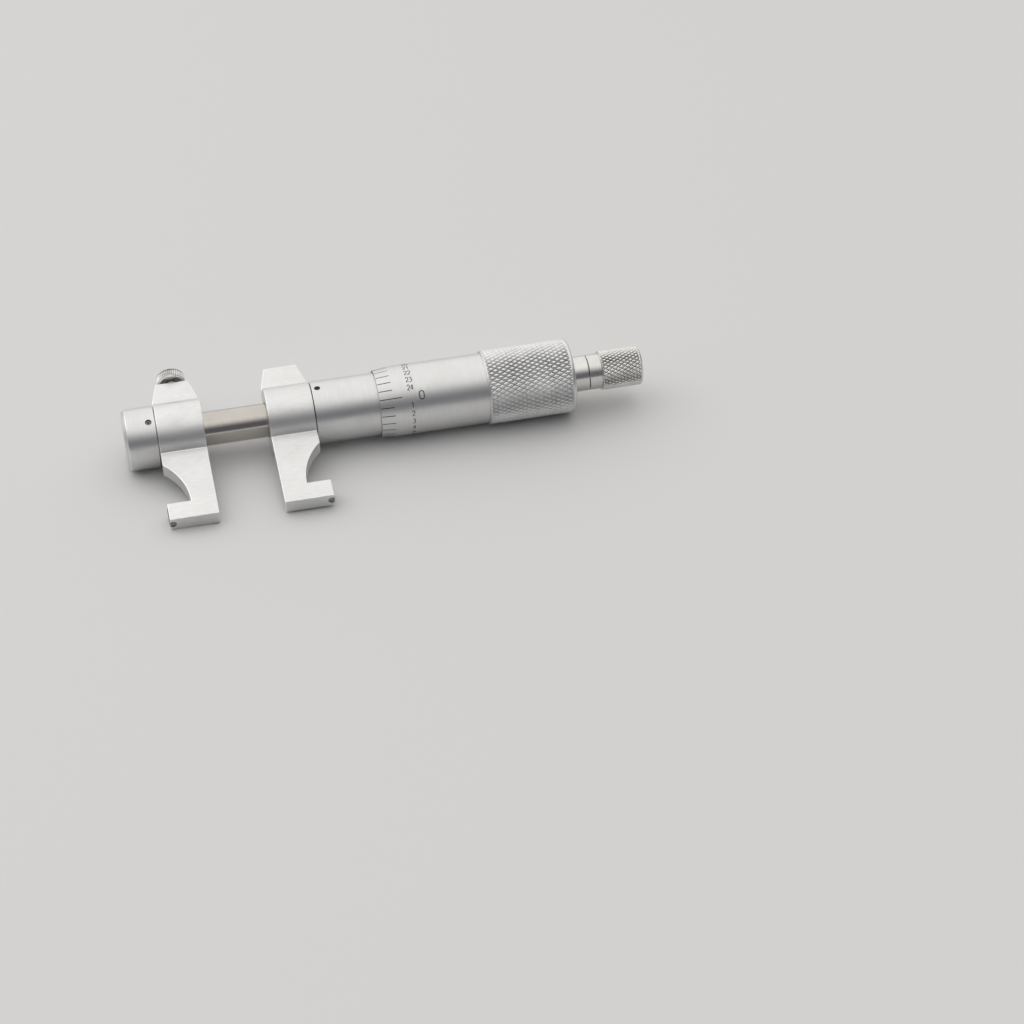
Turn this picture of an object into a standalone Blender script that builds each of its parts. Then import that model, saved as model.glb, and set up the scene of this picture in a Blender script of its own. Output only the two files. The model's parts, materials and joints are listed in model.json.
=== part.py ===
"""Inside micrometer with caliper jaws, 1 to 2 inch, lying on a bench as it comes to rest.

The instrument is drawn along its own X axis. Station 0 is the inner face of the fixed jaw's hub,
the thimble is at +X, the feet of the jaws point to -Y and Z is square to the jaws' flat plates.
An empty then rolls and tilts it until the knurled band, the moving jaw's hub and its foot lie on
the bench, with the bottom centre of the whole at the world origin.
"""
from math import asin, atan, atan2, cos, hypot, pi, radians, sin, sqrt

import bmesh
import bpy
from mathutils import Matrix, Vector

# Fits
FIT = 0.0003
SEAM = 0.0002
SMALL_FIT = 0.00015

# Reading over the two measuring faces, 1.5098 inch, and the ends of the range, 1 and 2 inch
READING = 0.03835
READING_LEAST = 0.0254
READING_MOST = 0.0508

# Jaws
JAW_WIDTH = 0.0109
HUB_RADIUS = 0.0075
PLATE_THICKNESS = 0.0036
HUB_FILLET = 0.0005
ARM_LENGTH = 0.02805
FOOT_HEIGHT = 0.00495
FOOT_PROUD = 0.0005
SCALLOP_START = 0.0111
SCALLOP_DEPTH = 0.0050
EAR_LENGTH = 0.01505
EAR_TAPER_START = 0.0090
EAR_TIP_WIDTH = 0.0078
JAW_CHAMFER = 0.00012
TIP_RADIUS = 0.00076
TIP_PROUD = 0.0002

# Guide rod and its key
ROD_RADIUS = 0.00405
ROD_FLAT_DEPTH = 0.00036
ROD_FLAT_INSET = 0.0027
KEY_WIDTH = 0.0027
KEY_LENGTH = 0.0050
KEY_INSET = 0.0014

# Sleeve, inner tube and adjusting nut
SLEEVE_WALL = 0.0012
SPANNER_HOLE_RADIUS = 0.00072
SPANNER_HOLE_STATION = 0.0014
SPANNER_HOLE_ANGLE = radians(-6)
TUBE_SEAT_WALL = 0.0030
NUT_LENGTH = 0.0108
NUT_THREAD_DEPTH = 0.0004
SPLIT_WIDTH = 0.0008
SPLIT_LENGTH = 0.0085
TUBE_CLEARANCE = 0.00085
ADJUSTING_NUT_LENGTH = 0.0050
ADJUSTING_NUT_CLEARANCE = 0.0006

# Spindle
SPINDLE_RADIUS = 0.0022
THREAD_RADIUS = 0.0031
THREAD_RUNOUT = 0.00045
THREAD_RELIEF = 0.0007
TAPER_END_RADIUS = 0.0026
SPINDLE_STUB_RADIUS = 0.0020
SPINDLE_STUB_CLEARANCE = 0.0010
SPINDLE_TAIL_RADIUS = 0.0015
WASHER_THICKNESS = 0.00055
SPINDLE_NUT_THICKNESS = 0.00155
SPINDLE_NUT_FLATS = 0.0055

# End cap
CAP_INSET = 0.00017
CAP_CHAMFER = 0.0008
CAP_END_WALL = 0.0013
BOSS_LENGTH = 0.0030
BOSS_WALL = 0.00145
CAP_SCREW_RADIUS = 0.0006
CAP_SCREW_STATION = 0.0015
CAP_SCREW_ANGLE = radians(15)

# Thimble
SLEEVE_SHOWN = 0.01525
THIMBLE_LENGTH = 0.04735
THIMBLE_WALL = 0.00065
THIMBLE_EDGE_WALL = 0.00022
THIMBLE_BEVEL_LENGTH = 0.0042
THIMBLE_END_WALL = 0.0040
BAND_START = 0.0261
BAND_PROUD = 0.00047
BAND_STEP = 0.0003
BAND_END_CHAMFER = 0.0007
KNURL_DEPTH = 0.00022
BAND_KNURL_ROWS = 12
BAND_KNURL_SIDES = 60

# Ratchet stop
NECK_RADIUS = 0.00428
RATCHET_BASE_LENGTH = 0.0039
SKIRT_LENGTH = 0.00325
SKIRT_WALL = 0.00068
KNOB_LENGTH = 0.0098
KNOB_PROUD = 0.00045
KNOB_CHAMFER = 0.0005
KNOB_CAVITY_FLAT = 0.0031
KNOB_BEARING_LENGTH = 0.0015
KNOB_KNURL_DEPTH = 0.00018
KNOB_KNURL_ROWS = 8
KNOB_KNURL_SIDES = 36
STEM_RADIUS = 0.0019
CROWN_RADIUS = 0.0033
CROWN_HEIGHT = 0.0007
TOOTH_COUNT = 24
TOOTH_HEIGHT = 0.0005
TOOTH_LAND = 0.08
RATCHET_RING_LENGTH = 0.00215
RATCHET_LIFT = 0.00045
SPRING_WIRE_RADIUS = 0.00022
SPRING_MEAN_RADIUS = 0.00265
SPRING_TURNS = 5
RATCHET_SCREW_RADIUS = 0.0009
RATCHET_SCREW_HEAD_RADIUS = 0.0026
RATCHET_SCREW_HEAD_LENGTH = 0.0015
RATCHET_SCREW_GRIP = 0.0062
RATCHET_SCREW_RECESS = 0.00075
SCREW_SLOT_WIDTH = 0.0006

# Clamp screw and the plug it presses on the spindle
CLAMP_SHANK_RADIUS = 0.0010
CLAMP_STANDOFF = 0.00075
CLAMP_HEAD_RADIUS = 0.0034
CLAMP_HEAD_LENGTH = 0.0024
CLAMP_HEAD_CHAMFER = 0.0005
CLAMP_KNURL_TEETH = 30
CLAMP_KNURL_DEPTH = 0.0002
CLAMP_PLUG_LENGTH = 0.0022

# Stations along the instrument's axis
TRAVEL_OPEN = READING_MOST - READING
TRAVEL_CLOSE = READING - READING_LEAST
JAW_GAP = READING - 2 * (JAW_WIDTH + FOOT_PROUD + TIP_PROUD)
PLATE_HALF = PLATE_THICKNESS / 2
FOOT_TOP = ARM_LENGTH - FOOT_HEIGHT
ROD_HOLE = ROD_RADIUS + FIT
ROD_BORE = SPINDLE_RADIUS + FIT
SLEEVE_START = JAW_WIDTH + SEAM
SLEEVE_BORE = HUB_RADIUS - SLEEVE_WALL
TUBE_RADIUS = SLEEVE_BORE - FIT
TUBE_START = TUBE_SEAT_WALL + FIT
THIMBLE_START = SLEEVE_START + SLEEVE_SHOWN
THIMBLE_END = THIMBLE_START + THIMBLE_LENGTH
THIMBLE_BORE = HUB_RADIUS + FIT
THIMBLE_RADIUS = THIMBLE_BORE + THIMBLE_WALL
BAND_RADIUS = THIMBLE_RADIUS + BAND_PROUD
WALL_FACE = THIMBLE_END - THIMBLE_END_WALL
TUBE_END = WALL_FACE - TRAVEL_OPEN - TUBE_CLEARANCE
NUT_START = TUBE_END - NUT_LENGTH
NUT_BORE = THREAD_RADIUS + FIT
SLEEVE_END = NUT_START
ADJUSTING_NUT_RADIUS = THIMBLE_BORE - ADJUSTING_NUT_CLEARANCE
THREAD_START = NUT_START - TRAVEL_CLOSE - THREAD_RUNOUT
THREAD_END = WALL_FACE - THREAD_RELIEF
INNER_WASHER_END = THREAD_START - FIT
ROD_END = INNER_WASHER_END - WASHER_THICKNESS - FIT
KEY_START = SLEEVE_START + KEY_INSET
MOVING_FACE = -JAW_GAP
MOVING_BACK = MOVING_FACE - JAW_WIDTH
BOSS_END = MOVING_BACK - BOSS_LENGTH
BOSS_RADIUS = ROD_HOLE + BOSS_WALL
ROD_START = BOSS_END - FIT
OUTER_WASHER_START = ROD_START - FIT - WASHER_THICKNESS
SPINDLE_NUT_START = OUTER_WASHER_START - FIT - SPINDLE_NUT_THICKNESS
CAP_START = MOVING_BACK - SEAM
TAIL_END = SPINDLE_NUT_START - SMALL_FIT
CAP_FLOOR = TAIL_END - FIT
CAP_END = CAP_FLOOR - CAP_END_WALL
CAP_RADIUS = HUB_RADIUS - CAP_INSET
BASE_START = THIMBLE_END + SEAM
BASE_FACE = BASE_START + RATCHET_BASE_LENGTH
KNOB_START = BASE_FACE + SEAM
KNURL_START = KNOB_START + SKIRT_LENGTH
KNOB_END = KNURL_START + KNOB_LENGTH
KNOB_RADIUS = NECK_RADIUS + KNOB_PROUD
KNOB_CAVITY_RADIUS = NECK_RADIUS - SKIRT_WALL
HEAD_SEAT = KNOB_END - RATCHET_SCREW_RECESS - RATCHET_SCREW_HEAD_LENGTH - FIT
CAVITY_END = HEAD_SEAT - KNOB_BEARING_LENGTH
CROWN_TIP = BASE_FACE + CROWN_HEIGHT
RING_START = CROWN_TIP - TOOTH_HEIGHT + SEAM
RING_END = RING_START + RATCHET_RING_LENGTH
RING_BORE = STEM_RADIUS + FIT
SPRING_START = RING_END + FIT
SPRING_END = CAVITY_END - RATCHET_LIFT - SMALL_FIT
CLAMP_STATION = MOVING_FACE - JAW_WIDTH / 2
CLAMP_HEAD_START = EAR_LENGTH + CLAMP_STANDOFF
PLUG_START = SPINDLE_RADIUS + FIT
CLAMP_SHANK_START = PLUG_START + CLAMP_PLUG_LENGTH + FIT
CLAMP_HOLE = CLAMP_SHANK_RADIUS + FIT
SCREW_HOLE = RATCHET_SCREW_RADIUS + SMALL_FIT
STUB_END = BASE_FACE - SPINDLE_STUB_CLEARANCE

# How it lies on the bench: the foot's lower edge and the hub touch, and the band is the far support
FOOT_CORNER_ANGLE = atan2(PLATE_HALF, ARM_LENGTH)
BENCH_ROLL = asin(HUB_RADIUS / hypot(ARM_LENGTH, PLATE_HALF)) - FOOT_CORNER_ANGLE
BENCH_TILT = atan((BAND_RADIUS - HUB_RADIUS) / (THIMBLE_START + BAND_START - MOVING_BACK))

for old in list(bpy.data.objects):
    bpy.data.objects.remove(old, do_unlink=True)

PARTS = bpy.data.collections.new("inside_micrometer")
CUTTERS = bpy.data.collections.new("cutters")
bpy.context.scene.collection.children.link(PARTS)
bpy.context.scene.collection.children.link(CUTTERS)


def metal(name, colour, roughness, metallic=1.0):
    """A Principled material in the finish of one kind of metal."""
    material = bpy.data.materials.new(name)
    material.use_nodes = True
    shader = material.node_tree.nodes["Principled BSDF"]
    shader.inputs["Base Color"].default_value = (*colour, 1.0)
    shader.inputs["Roughness"].default_value = roughness
    shader.inputs["Metallic"].default_value = metallic
    return material


SATIN_CHROME = metal("satin_chrome", (0.72, 0.73, 0.74), 0.38)
GROUND_STEEL = metal("ground_steel", (0.62, 0.62, 0.61), 0.24)
TURNED_STEEL = metal("turned_steel", (0.70, 0.70, 0.69), 0.20)
DARK_STEEL = metal("dark_steel", (0.30, 0.30, 0.31), 0.40)
BRASS = metal("brass", (0.76, 0.60, 0.30), 0.35)
CARBIDE = metal("carbide", (0.22, 0.22, 0.23), 0.30)


def group(name, station, parent=None):
    """An empty on the instrument's axis that carries the pieces of one body."""
    empty = bpy.data.objects.new(name, None)
    empty.empty_display_size = 0.005
    empty.location = (station, 0, 0)
    if parent:
        empty.parent = parent
        empty.location.x -= STATIONS[parent.name]
    STATIONS[name] = station
    PARTS.objects.link(empty)
    return empty


STATIONS = {}
BENCH = group("bench_pose", 0)
CARRIAGE = group("carriage", CLAMP_STATION, BENCH)
SCREW_GROUP = group("screw_group", THIMBLE_START, CARRIAGE)
RATCHET_GROUP = group("ratchet_group", KNOB_START, SCREW_GROUP)
CLAMP_GROUP = group("clamp_group", CLAMP_STATION, CARRIAGE)


def place(obj, parent):
    """Hang a piece drawn in instrument coordinates on its body's empty."""
    obj.parent = parent
    obj.data.transform(Matrix.Translation((-STATIONS[parent.name], 0, 0)))


def finish(obj, parent, material):
    """Give a finished piece its body, material and smooth shading."""
    place(obj, parent)
    obj.data.materials.clear()
    obj.data.materials.append(material)
    obj.data.shade_smooth()
    obj.data.set_sharp_from_angle(angle=radians(30))
    return obj


def mesh_object(name, bm, collection):
    """Turn a bmesh into an object of the given collection."""
    mesh = bpy.data.meshes.new(name)
    bm.to_mesh(mesh)
    bm.free()
    obj = bpy.data.objects.new(name, mesh)
    collection.objects.link(obj)
    return obj


def turned(name, profile, sides, closed=True, collection=PARTS):
    """Spin a profile of (station, radius) points about X.

    The points run down the outer side from high to low stations. A closed profile comes back
    along the bore, an open one starts and ends on the axis.
    """
    bm = bmesh.new()
    verts = [bm.verts.new((x, r, 0)) for x, r in profile]
    for a, b in zip(verts, verts[1:]):
        bm.edges.new((a, b))
    if closed:
        bm.edges.new((verts[-1], verts[0]))
    obj = mesh_object(name, bm, collection)
    screw = obj.modifiers.new("turned", 'SCREW')
    screw.axis = 'X'
    screw.angle = 2 * pi
    screw.steps = sides
    screw.render_steps = sides
    screw.use_merge_vertices = True
    screw.merge_threshold = 0.000001
    return obj


def tube_profile(start, end, outer, bore):
    """Profile of a plain tube."""
    return [(end, outer), (start, outer), (start, bore), (end, bore)]


def bar_profile(start, end, radius):
    """Profile of a plain solid bar."""
    return [(end, 0), (end, radius), (start, radius), (start, 0)]


def applied(obj):
    """Replace an object's mesh by its evaluated one, so it can be edited as a bmesh."""
    depsgraph = bpy.context.evaluated_depsgraph_get()
    mesh = bpy.data.meshes.new_from_object(obj.evaluated_get(depsgraph))
    obj.modifiers.clear()
    obj.data = mesh
    return obj


def outline_solid(name, points, half_depth, frame, collection):
    """Extrude a flat outline both ways, then set it into the given frame."""
    curve = bpy.data.curves.new(name, 'CURVE')
    curve.dimensions = '2D'
    curve.fill_mode = 'BOTH'
    curve.extrude = half_depth
    spline = curve.splines.new('POLY')
    spline.points.add(len(points) - 1)
    for point, (x, y) in zip(spline.points, points):
        point.co = (x, y, 0, 1)
    spline.use_cyclic_u = True
    drawn = bpy.data.objects.new(name + "_curve", curve)
    collection.objects.link(drawn)
    depsgraph = bpy.context.evaluated_depsgraph_get()
    mesh = bpy.data.meshes.new_from_object(drawn.evaluated_get(depsgraph))
    bpy.data.objects.remove(drawn)
    bm = bmesh.new()
    bm.from_mesh(mesh)
    bmesh.ops.remove_doubles(bm, verts=bm.verts, dist=0.000001)
    bmesh.ops.transform(bm, matrix=frame, verts=bm.verts)
    bmesh.ops.recalc_face_normals(bm, faces=bm.faces)
    return mesh_object(name, bm, collection)


def box(name, low, high, collection=CUTTERS):
    """A box between two corners."""
    bm = bmesh.new()
    bmesh.ops.create_cube(bm, size=1)
    size = [b - a for a, b in zip(low, high)]
    middle = [(a + b) / 2 for a, b in zip(low, high)]
    bmesh.ops.scale(bm, vec=size, verts=bm.verts)
    bmesh.ops.translate(bm, vec=middle, verts=bm.verts)
    return mesh_object(name, bm, collection)


def rod_along(name, start, end, radius, sides, collection=CUTTERS):
    """A straight round bar between two points."""
    start, end = Vector(start), Vector(end)
    along = end - start
    bm = bmesh.new()
    bmesh.ops.create_cone(bm, cap_ends=True, segments=sides, radius1=radius, radius2=radius,
                          depth=along.length)
    turn = along.to_track_quat('Z', 'Y').to_matrix().to_4x4()
    bmesh.ops.transform(bm, matrix=Matrix.Translation((start + end) / 2) @ turn, verts=bm.verts)
    return mesh_object(name, bm, collection)


def boolean(target, tool, operation):
    """Add, cut or intersect a piece with a hidden tool that shares its coordinates."""
    modifier = target.modifiers.new(tool.name, 'BOOLEAN')
    modifier.operation = operation
    modifier.solver = 'EXACT'
    modifier.object = tool
    tool.hide_render = True
    tool.display_type = 'WIRE'
    TOOLS.append((target, tool))


TOOLS = []


def seat_tools():
    """Hang every cutter on the body of the piece it works on, a cutter's own cutters last."""
    for target, tool in reversed(TOOLS):
        place(tool, target.parent)


def arc(centre, radius, first, last, steps):
    """Points of an arc, both ends included."""
    turn = (last - first) / steps
    return [(centre[0] + radius * cos(first + i * turn), centre[1] + radius * sin(first + i * turn))
            for i in range(steps + 1)]


def jaw_side_outline():
    """Section of a jaw square to the axis: a round hub with flat plates, filleted where they meet."""
    lift = PLATE_HALF + HUB_FILLET
    reach = sqrt((HUB_RADIUS + HUB_FILLET) ** 2 - lift ** 2)
    meet = atan2(lift, reach)
    points = [(ARM_LENGTH + FIT, -PLATE_HALF), (ARM_LENGTH + FIT, PLATE_HALF)]
    points += arc((reach, lift), HUB_FILLET, -pi / 2, meet - pi, 3)
    points += arc((0, 0), HUB_RADIUS, meet, pi - meet, 24)[1:-1]
    points += arc((-reach, lift), HUB_FILLET, -meet, -pi / 2, 3)
    points += [(-EAR_LENGTH - FIT, PLATE_HALF), (-EAR_LENGTH - FIT, -PLATE_HALF)]
    points += arc((-reach, -lift), HUB_FILLET, pi / 2, meet, 3)
    points += arc((0, 0), HUB_RADIUS, meet - pi, -meet, 24)[1:-1]
    points += arc((reach, -lift), HUB_FILLET, pi - meet, pi / 2, 3)
    return points


def jaw_plan_outline():
    """Plan of a jaw: ear, hub, arm with its scalloped outer side, and the foot."""
    drop = FOOT_TOP - SCALLOP_START
    radius = (drop ** 2 + SCALLOP_DEPTH ** 2) / (2 * SCALLOP_DEPTH)
    centre = (JAW_WIDTH - SCALLOP_DEPTH + radius, FOOT_TOP)
    inset = (JAW_WIDTH - EAR_TIP_WIDTH) / 2
    scallop = arc(centre, radius, pi + asin(drop / radius), pi, 12)
    return [(0, -EAR_TAPER_START), (inset, -EAR_LENGTH), (JAW_WIDTH - inset, -EAR_LENGTH),
            (JAW_WIDTH, -EAR_TAPER_START), *scallop, (JAW_WIDTH + FOOT_PROUD, FOOT_TOP),
            (JAW_WIDTH + FOOT_PROUD, ARM_LENGTH), (0, ARM_LENGTH)]


def jaw_blank(name, face, outward):
    """A jaw without its bores: the side section and the plan, each extruded, where they overlap."""
    reach = JAW_WIDTH + FOOT_PROUD + FIT
    middle = face + outward * (reach - FIT) / 2
    side_frame = Matrix(((0, 0, 1, middle), (-1, 0, 0, 0), (0, 1, 0, 0), (0, 0, 0, 1)))
    jaw = outline_solid(name, jaw_side_outline(), reach / 2, side_frame, PARTS)
    plan_frame = Matrix(((outward, 0, 0, face), (0, -1, 0, 0), (0, 0, 1, 0), (0, 0, 0, 1)))
    plan = outline_solid(name + "_plan", jaw_plan_outline(), HUB_RADIUS + FIT, plan_frame, CUTTERS)
    boolean(jaw, plan, 'INTERSECT')
    bevel = jaw.modifiers.new("edges", 'BEVEL')
    bevel.width = JAW_CHAMFER
    bevel.segments = 1
    bevel.limit_method = 'ANGLE'
    bevel.angle_limit = radians(50)
    return jaw


def tip_line(face, outward):
    """Axis of the carbide pin let into the outer end of a foot."""
    station = face + outward * (JAW_WIDTH + FOOT_PROUD + TIP_PROUD - TIP_RADIUS)
    return (station, -FOOT_TOP - SEAM, 0), (station, -ARM_LENGTH + SEAM, 0)


def tip_groove(jaw, face, outward):
    """Cut the groove that holds the pin right down the foot's end."""
    top, bottom = tip_line(face, outward)
    above = (top[0], top[1] + 2 * SEAM, 0)
    below = (bottom[0], bottom[1] - 2 * SEAM, 0)
    boolean(jaw, rod_along(jaw.name + "_groove", above, below, TIP_RADIUS + SMALL_FIT, 24), 'DIFFERENCE')


def jaw_tip(name, face, outward, parent):
    """The carbide pin whose round side is the measuring face."""
    top, bottom = tip_line(face, outward)
    return finish(rod_along(name, top, bottom, TIP_RADIUS, 24, PARTS), parent, CARBIDE)


def make_fixed_jaw():
    """The jaw on the sleeve, bored for the rod and counterbored for the inner tube."""
    jaw = jaw_blank("fixed_jaw", 0, 1)
    bore = [(JAW_WIDTH + FIT, 0), (JAW_WIDTH + FIT, TUBE_RADIUS + FIT), (TUBE_SEAT_WALL, TUBE_RADIUS + FIT),
            (TUBE_SEAT_WALL, ROD_HOLE), (-FIT, ROD_HOLE), (-FIT, 0)]
    boolean(jaw, turned("fixed_jaw_bore", bore, 48, False, CUTTERS), 'DIFFERENCE')
    tip_groove(jaw, 0, 1)
    finish(jaw, BENCH, SATIN_CHROME)
    jaw_tip("fixed_jaw_tip", 0, 1, BENCH)


def make_moving_jaw():
    """The jaw on the rod, with the cap's threaded boss and the clamp screw's hole through its ear."""
    jaw = jaw_blank("moving_jaw", MOVING_FACE, -1)
    boss = bar_profile(BOSS_END, MOVING_BACK + BOSS_LENGTH, BOSS_RADIUS)
    boolean(jaw, turned("moving_jaw_boss", boss, 48, False, CUTTERS), 'UNION')
    bore = bar_profile(BOSS_END - FIT, MOVING_FACE + FIT, ROD_HOLE)
    boolean(jaw, turned("moving_jaw_bore", bore, 48, False, CUTTERS), 'DIFFERENCE')
    inside = (CLAMP_STATION, ROD_RADIUS / 2, 0)
    outside = (CLAMP_STATION, EAR_LENGTH + FIT, 0)
    boolean(jaw, rod_along("moving_jaw_clamp_hole", inside, outside, CLAMP_HOLE, 24), 'DIFFERENCE')
    tip_groove(jaw, MOVING_FACE, -1)
    finish(jaw, CARRIAGE, SATIN_CHROME)
    jaw_tip("moving_jaw_tip", MOVING_FACE, -1, CARRIAGE)


def make_guide_rod():
    """The hollow rod that carries the moving jaw, with the long flat its key bears on."""
    rod = turned("guide_rod", tube_profile(ROD_START, ROD_END, ROD_RADIUS, ROD_BORE), 48)
    flat = box("guide_rod_flat", (MOVING_FACE - ROD_FLAT_INSET, -2 * ROD_RADIUS, -ROD_RADIUS),
               (ROD_END + FIT, ROD_FLAT_DEPTH - ROD_RADIUS, ROD_RADIUS))
    boolean(rod, flat, 'DIFFERENCE')
    hole_end = (CLAMP_STATION, ROD_RADIUS + FIT, 0)
    hole = rod_along("guide_rod_clamp_hole", (CLAMP_STATION, 0, 0), hole_end, CLAMP_HOLE, 24)
    boolean(rod, hole, 'DIFFERENCE')
    finish(rod, CARRIAGE, GROUND_STEEL)


def make_inner_tube():
    """The tube behind the sleeve: rod guide at one end, split spindle nut at the other."""
    thread = TUBE_RADIUS - NUT_THREAD_DEPTH
    step = NUT_START + SPLIT_WIDTH
    profile = [(TUBE_END, thread - NUT_THREAD_DEPTH), (TUBE_END - SPLIT_WIDTH, thread), (step, thread),
               (step, TUBE_RADIUS), (TUBE_START, TUBE_RADIUS), (TUBE_START, ROD_HOLE), (NUT_START, ROD_HOLE),
               (NUT_START, NUT_BORE), (TUBE_END, NUT_BORE)]
    tube = turned("inner_tube", profile, 36)
    window = box("inner_tube_key_window", (KEY_START - FIT, -TUBE_RADIUS - FIT, -KEY_WIDTH / 2 - FIT),
                 (KEY_START + KEY_LENGTH + FIT, -ROD_RADIUS / 2, KEY_WIDTH / 2 + FIT))
    boolean(tube, window, 'DIFFERENCE')
    for i in range(3):
        split = box(f"inner_tube_split_{i + 1}", (TUBE_END - SPLIT_LENGTH, 0, -SPLIT_WIDTH / 2),
                    (TUBE_END + FIT, TUBE_RADIUS + FIT, SPLIT_WIDTH / 2))
        split.data.transform(Matrix.Rotation(2 * pi * i / 3, 4, 'X'))
        boolean(tube, split, 'DIFFERENCE')
    finish(tube, BENCH, DARK_STEEL)


def make_guide_key():
    """The key in the inner tube's window, which keeps the rod and its jaw from turning."""
    low = (KEY_START, -TUBE_RADIUS, -KEY_WIDTH / 2)
    high = (KEY_START + KEY_LENGTH, ROD_FLAT_DEPTH - ROD_RADIUS - FIT, KEY_WIDTH / 2)
    finish(box("guide_key", low, high, PARTS), BENCH, BRASS)


def make_graduated_sleeve():
    """The outer sleeve that carries the inch scale, with a hole for the hook spanner."""
    profile = tube_profile(SLEEVE_START, SLEEVE_END, HUB_RADIUS, SLEEVE_BORE)
    sleeve = turned("graduated_sleeve", profile, 72)
    station = SLEEVE_START + SPANNER_HOLE_STATION
    outward = Vector((0, -sin(SPANNER_HOLE_ANGLE), cos(SPANNER_HOLE_ANGLE)))
    start = Vector((station, 0, 0)) + outward * (TUBE_RADIUS / 2)
    end = Vector((station, 0, 0)) + outward * (HUB_RADIUS + FIT)
    boolean(sleeve, rod_along("sleeve_spanner_hole", start, end, SPANNER_HOLE_RADIUS, 20), 'DIFFERENCE')
    finish(sleeve, BENCH, SATIN_CHROME)


def make_adjusting_nut():
    """The slotted ring that closes the split nut on the spindle's thread."""
    start = NUT_START + SPLIT_WIDTH + FIT
    end = start + ADJUSTING_NUT_LENGTH
    bore = TUBE_RADIUS - NUT_THREAD_DEPTH + FIT
    nut = turned("adjusting_nut", tube_profile(start, end, ADJUSTING_NUT_RADIUS, bore), 36)
    slot = box("adjusting_nut_slot", (end - SPLIT_WIDTH, -HUB_RADIUS, -SPLIT_WIDTH),
               (end + FIT, HUB_RADIUS, SPLIT_WIDTH))
    boolean(nut, slot, 'DIFFERENCE')
    finish(nut, BENCH, DARK_STEEL)


def cap_screw_line(inner, outer):
    """Axis of the small set screw near the cap's seam, between two radii."""
    outward = Vector((0, -sin(CAP_SCREW_ANGLE), cos(CAP_SCREW_ANGLE)))
    centre = Vector((CAP_START - CAP_SCREW_STATION, 0, 0))
    return centre + outward * inner, centre + outward * outer


def make_end_cap():
    """The cap screwed on the moving jaw's boss, over the spindle's thrust bearing."""
    boss_room = BOSS_RADIUS + FIT
    cavity = BOSS_RADIUS - FIT
    shoulder = BOSS_END - FIT
    profile = [(CAP_FLOOR, 0), (CAP_FLOOR, cavity), (shoulder, cavity), (shoulder, boss_room),
               (CAP_START, boss_room), (CAP_START, CAP_RADIUS), (CAP_END + CAP_CHAMFER, CAP_RADIUS),
               (CAP_END, CAP_RADIUS - CAP_CHAMFER), (CAP_END, 0)]
    cap = turned("end_cap", profile, 60, False)
    start, end = cap_screw_line(BOSS_RADIUS, CAP_RADIUS + FIT)
    boolean(cap, rod_along("end_cap_screw_hole", start, end, CAP_SCREW_RADIUS + SMALL_FIT, 20), 'DIFFERENCE')
    finish(cap, CARRIAGE, SATIN_CHROME)


def make_cap_set_screw():
    """The hollow-headed screw that locks the cap on its boss."""
    start, end = cap_screw_line(BOSS_RADIUS + FIT / 2, CAP_RADIUS - FIT)
    screw = rod_along("cap_set_screw", start, end, CAP_SCREW_RADIUS, 20, PARTS)
    outward = (end - start).normalized()
    socket = rod_along("cap_set_screw_socket", (start + end) / 2, end + outward * FIT,
                       CAP_SCREW_RADIUS / 2, 6)
    boolean(screw, socket, 'DIFFERENCE')
    finish(screw, CARRIAGE, DARK_STEEL)


def make_thrust_bearing():
    """The two washers that pass the spindle's push and pull to the ends of the rod."""
    outer = tube_profile(OUTER_WASHER_START, OUTER_WASHER_START + WASHER_THICKNESS, ROD_RADIUS,
                         SPINDLE_TAIL_RADIUS + FIT)
    finish(turned("outer_thrust_washer", outer, 24), CARRIAGE, BRASS)
    inner = tube_profile(INNER_WASHER_END - WASHER_THICKNESS, INNER_WASHER_END, ROD_RADIUS,
                         SPINDLE_RADIUS + FIT)
    finish(turned("inner_thrust_washer", inner, 24), CARRIAGE, BRASS)


def make_spindle():
    """The long screw: tail for the end nut, journal in the rod, thread, taper and stub."""
    step = FIT / 2
    profile = [(STUB_END, 0), (STUB_END, SPINDLE_STUB_RADIUS), (THIMBLE_END, SPINDLE_STUB_RADIUS),
               (THIMBLE_END, TAPER_END_RADIUS), (WALL_FACE - FIT, THREAD_RADIUS),
               (WALL_FACE - FIT, THREAD_RADIUS - step), (THREAD_END, THREAD_RADIUS - step),
               (THREAD_END, THREAD_RADIUS), (THREAD_START + step, THREAD_RADIUS),
               (THREAD_START, THREAD_RADIUS - step),
               (THREAD_START, SPINDLE_RADIUS), (ROD_START - step, SPINDLE_RADIUS),
               (ROD_START - step, SPINDLE_TAIL_RADIUS), (TAIL_END, SPINDLE_TAIL_RADIUS), (TAIL_END, 0)]
    finish(turned("spindle", profile, 30, False), SCREW_GROUP, GROUND_STEEL)


def make_spindle_nut():
    """The hexagon nut on the spindle's tail, inside the end cap."""
    start = (SPINDLE_NUT_START, 0, 0)
    end = (SPINDLE_NUT_START + SPINDLE_NUT_THICKNESS, 0, 0)
    corner = SPINDLE_NUT_FLATS / sqrt(3)
    nut = rod_along("spindle_nut", start, end, corner, 6, PARTS)
    bore = rod_along("spindle_nut_bore", (start[0] - FIT, 0, 0), (end[0] + FIT, 0, 0),
                     SPINDLE_TAIL_RADIUS + FIT, 24)
    boolean(nut, bore, 'DIFFERENCE')
    finish(nut, SCREW_GROUP, DARK_STEEL)


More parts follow.
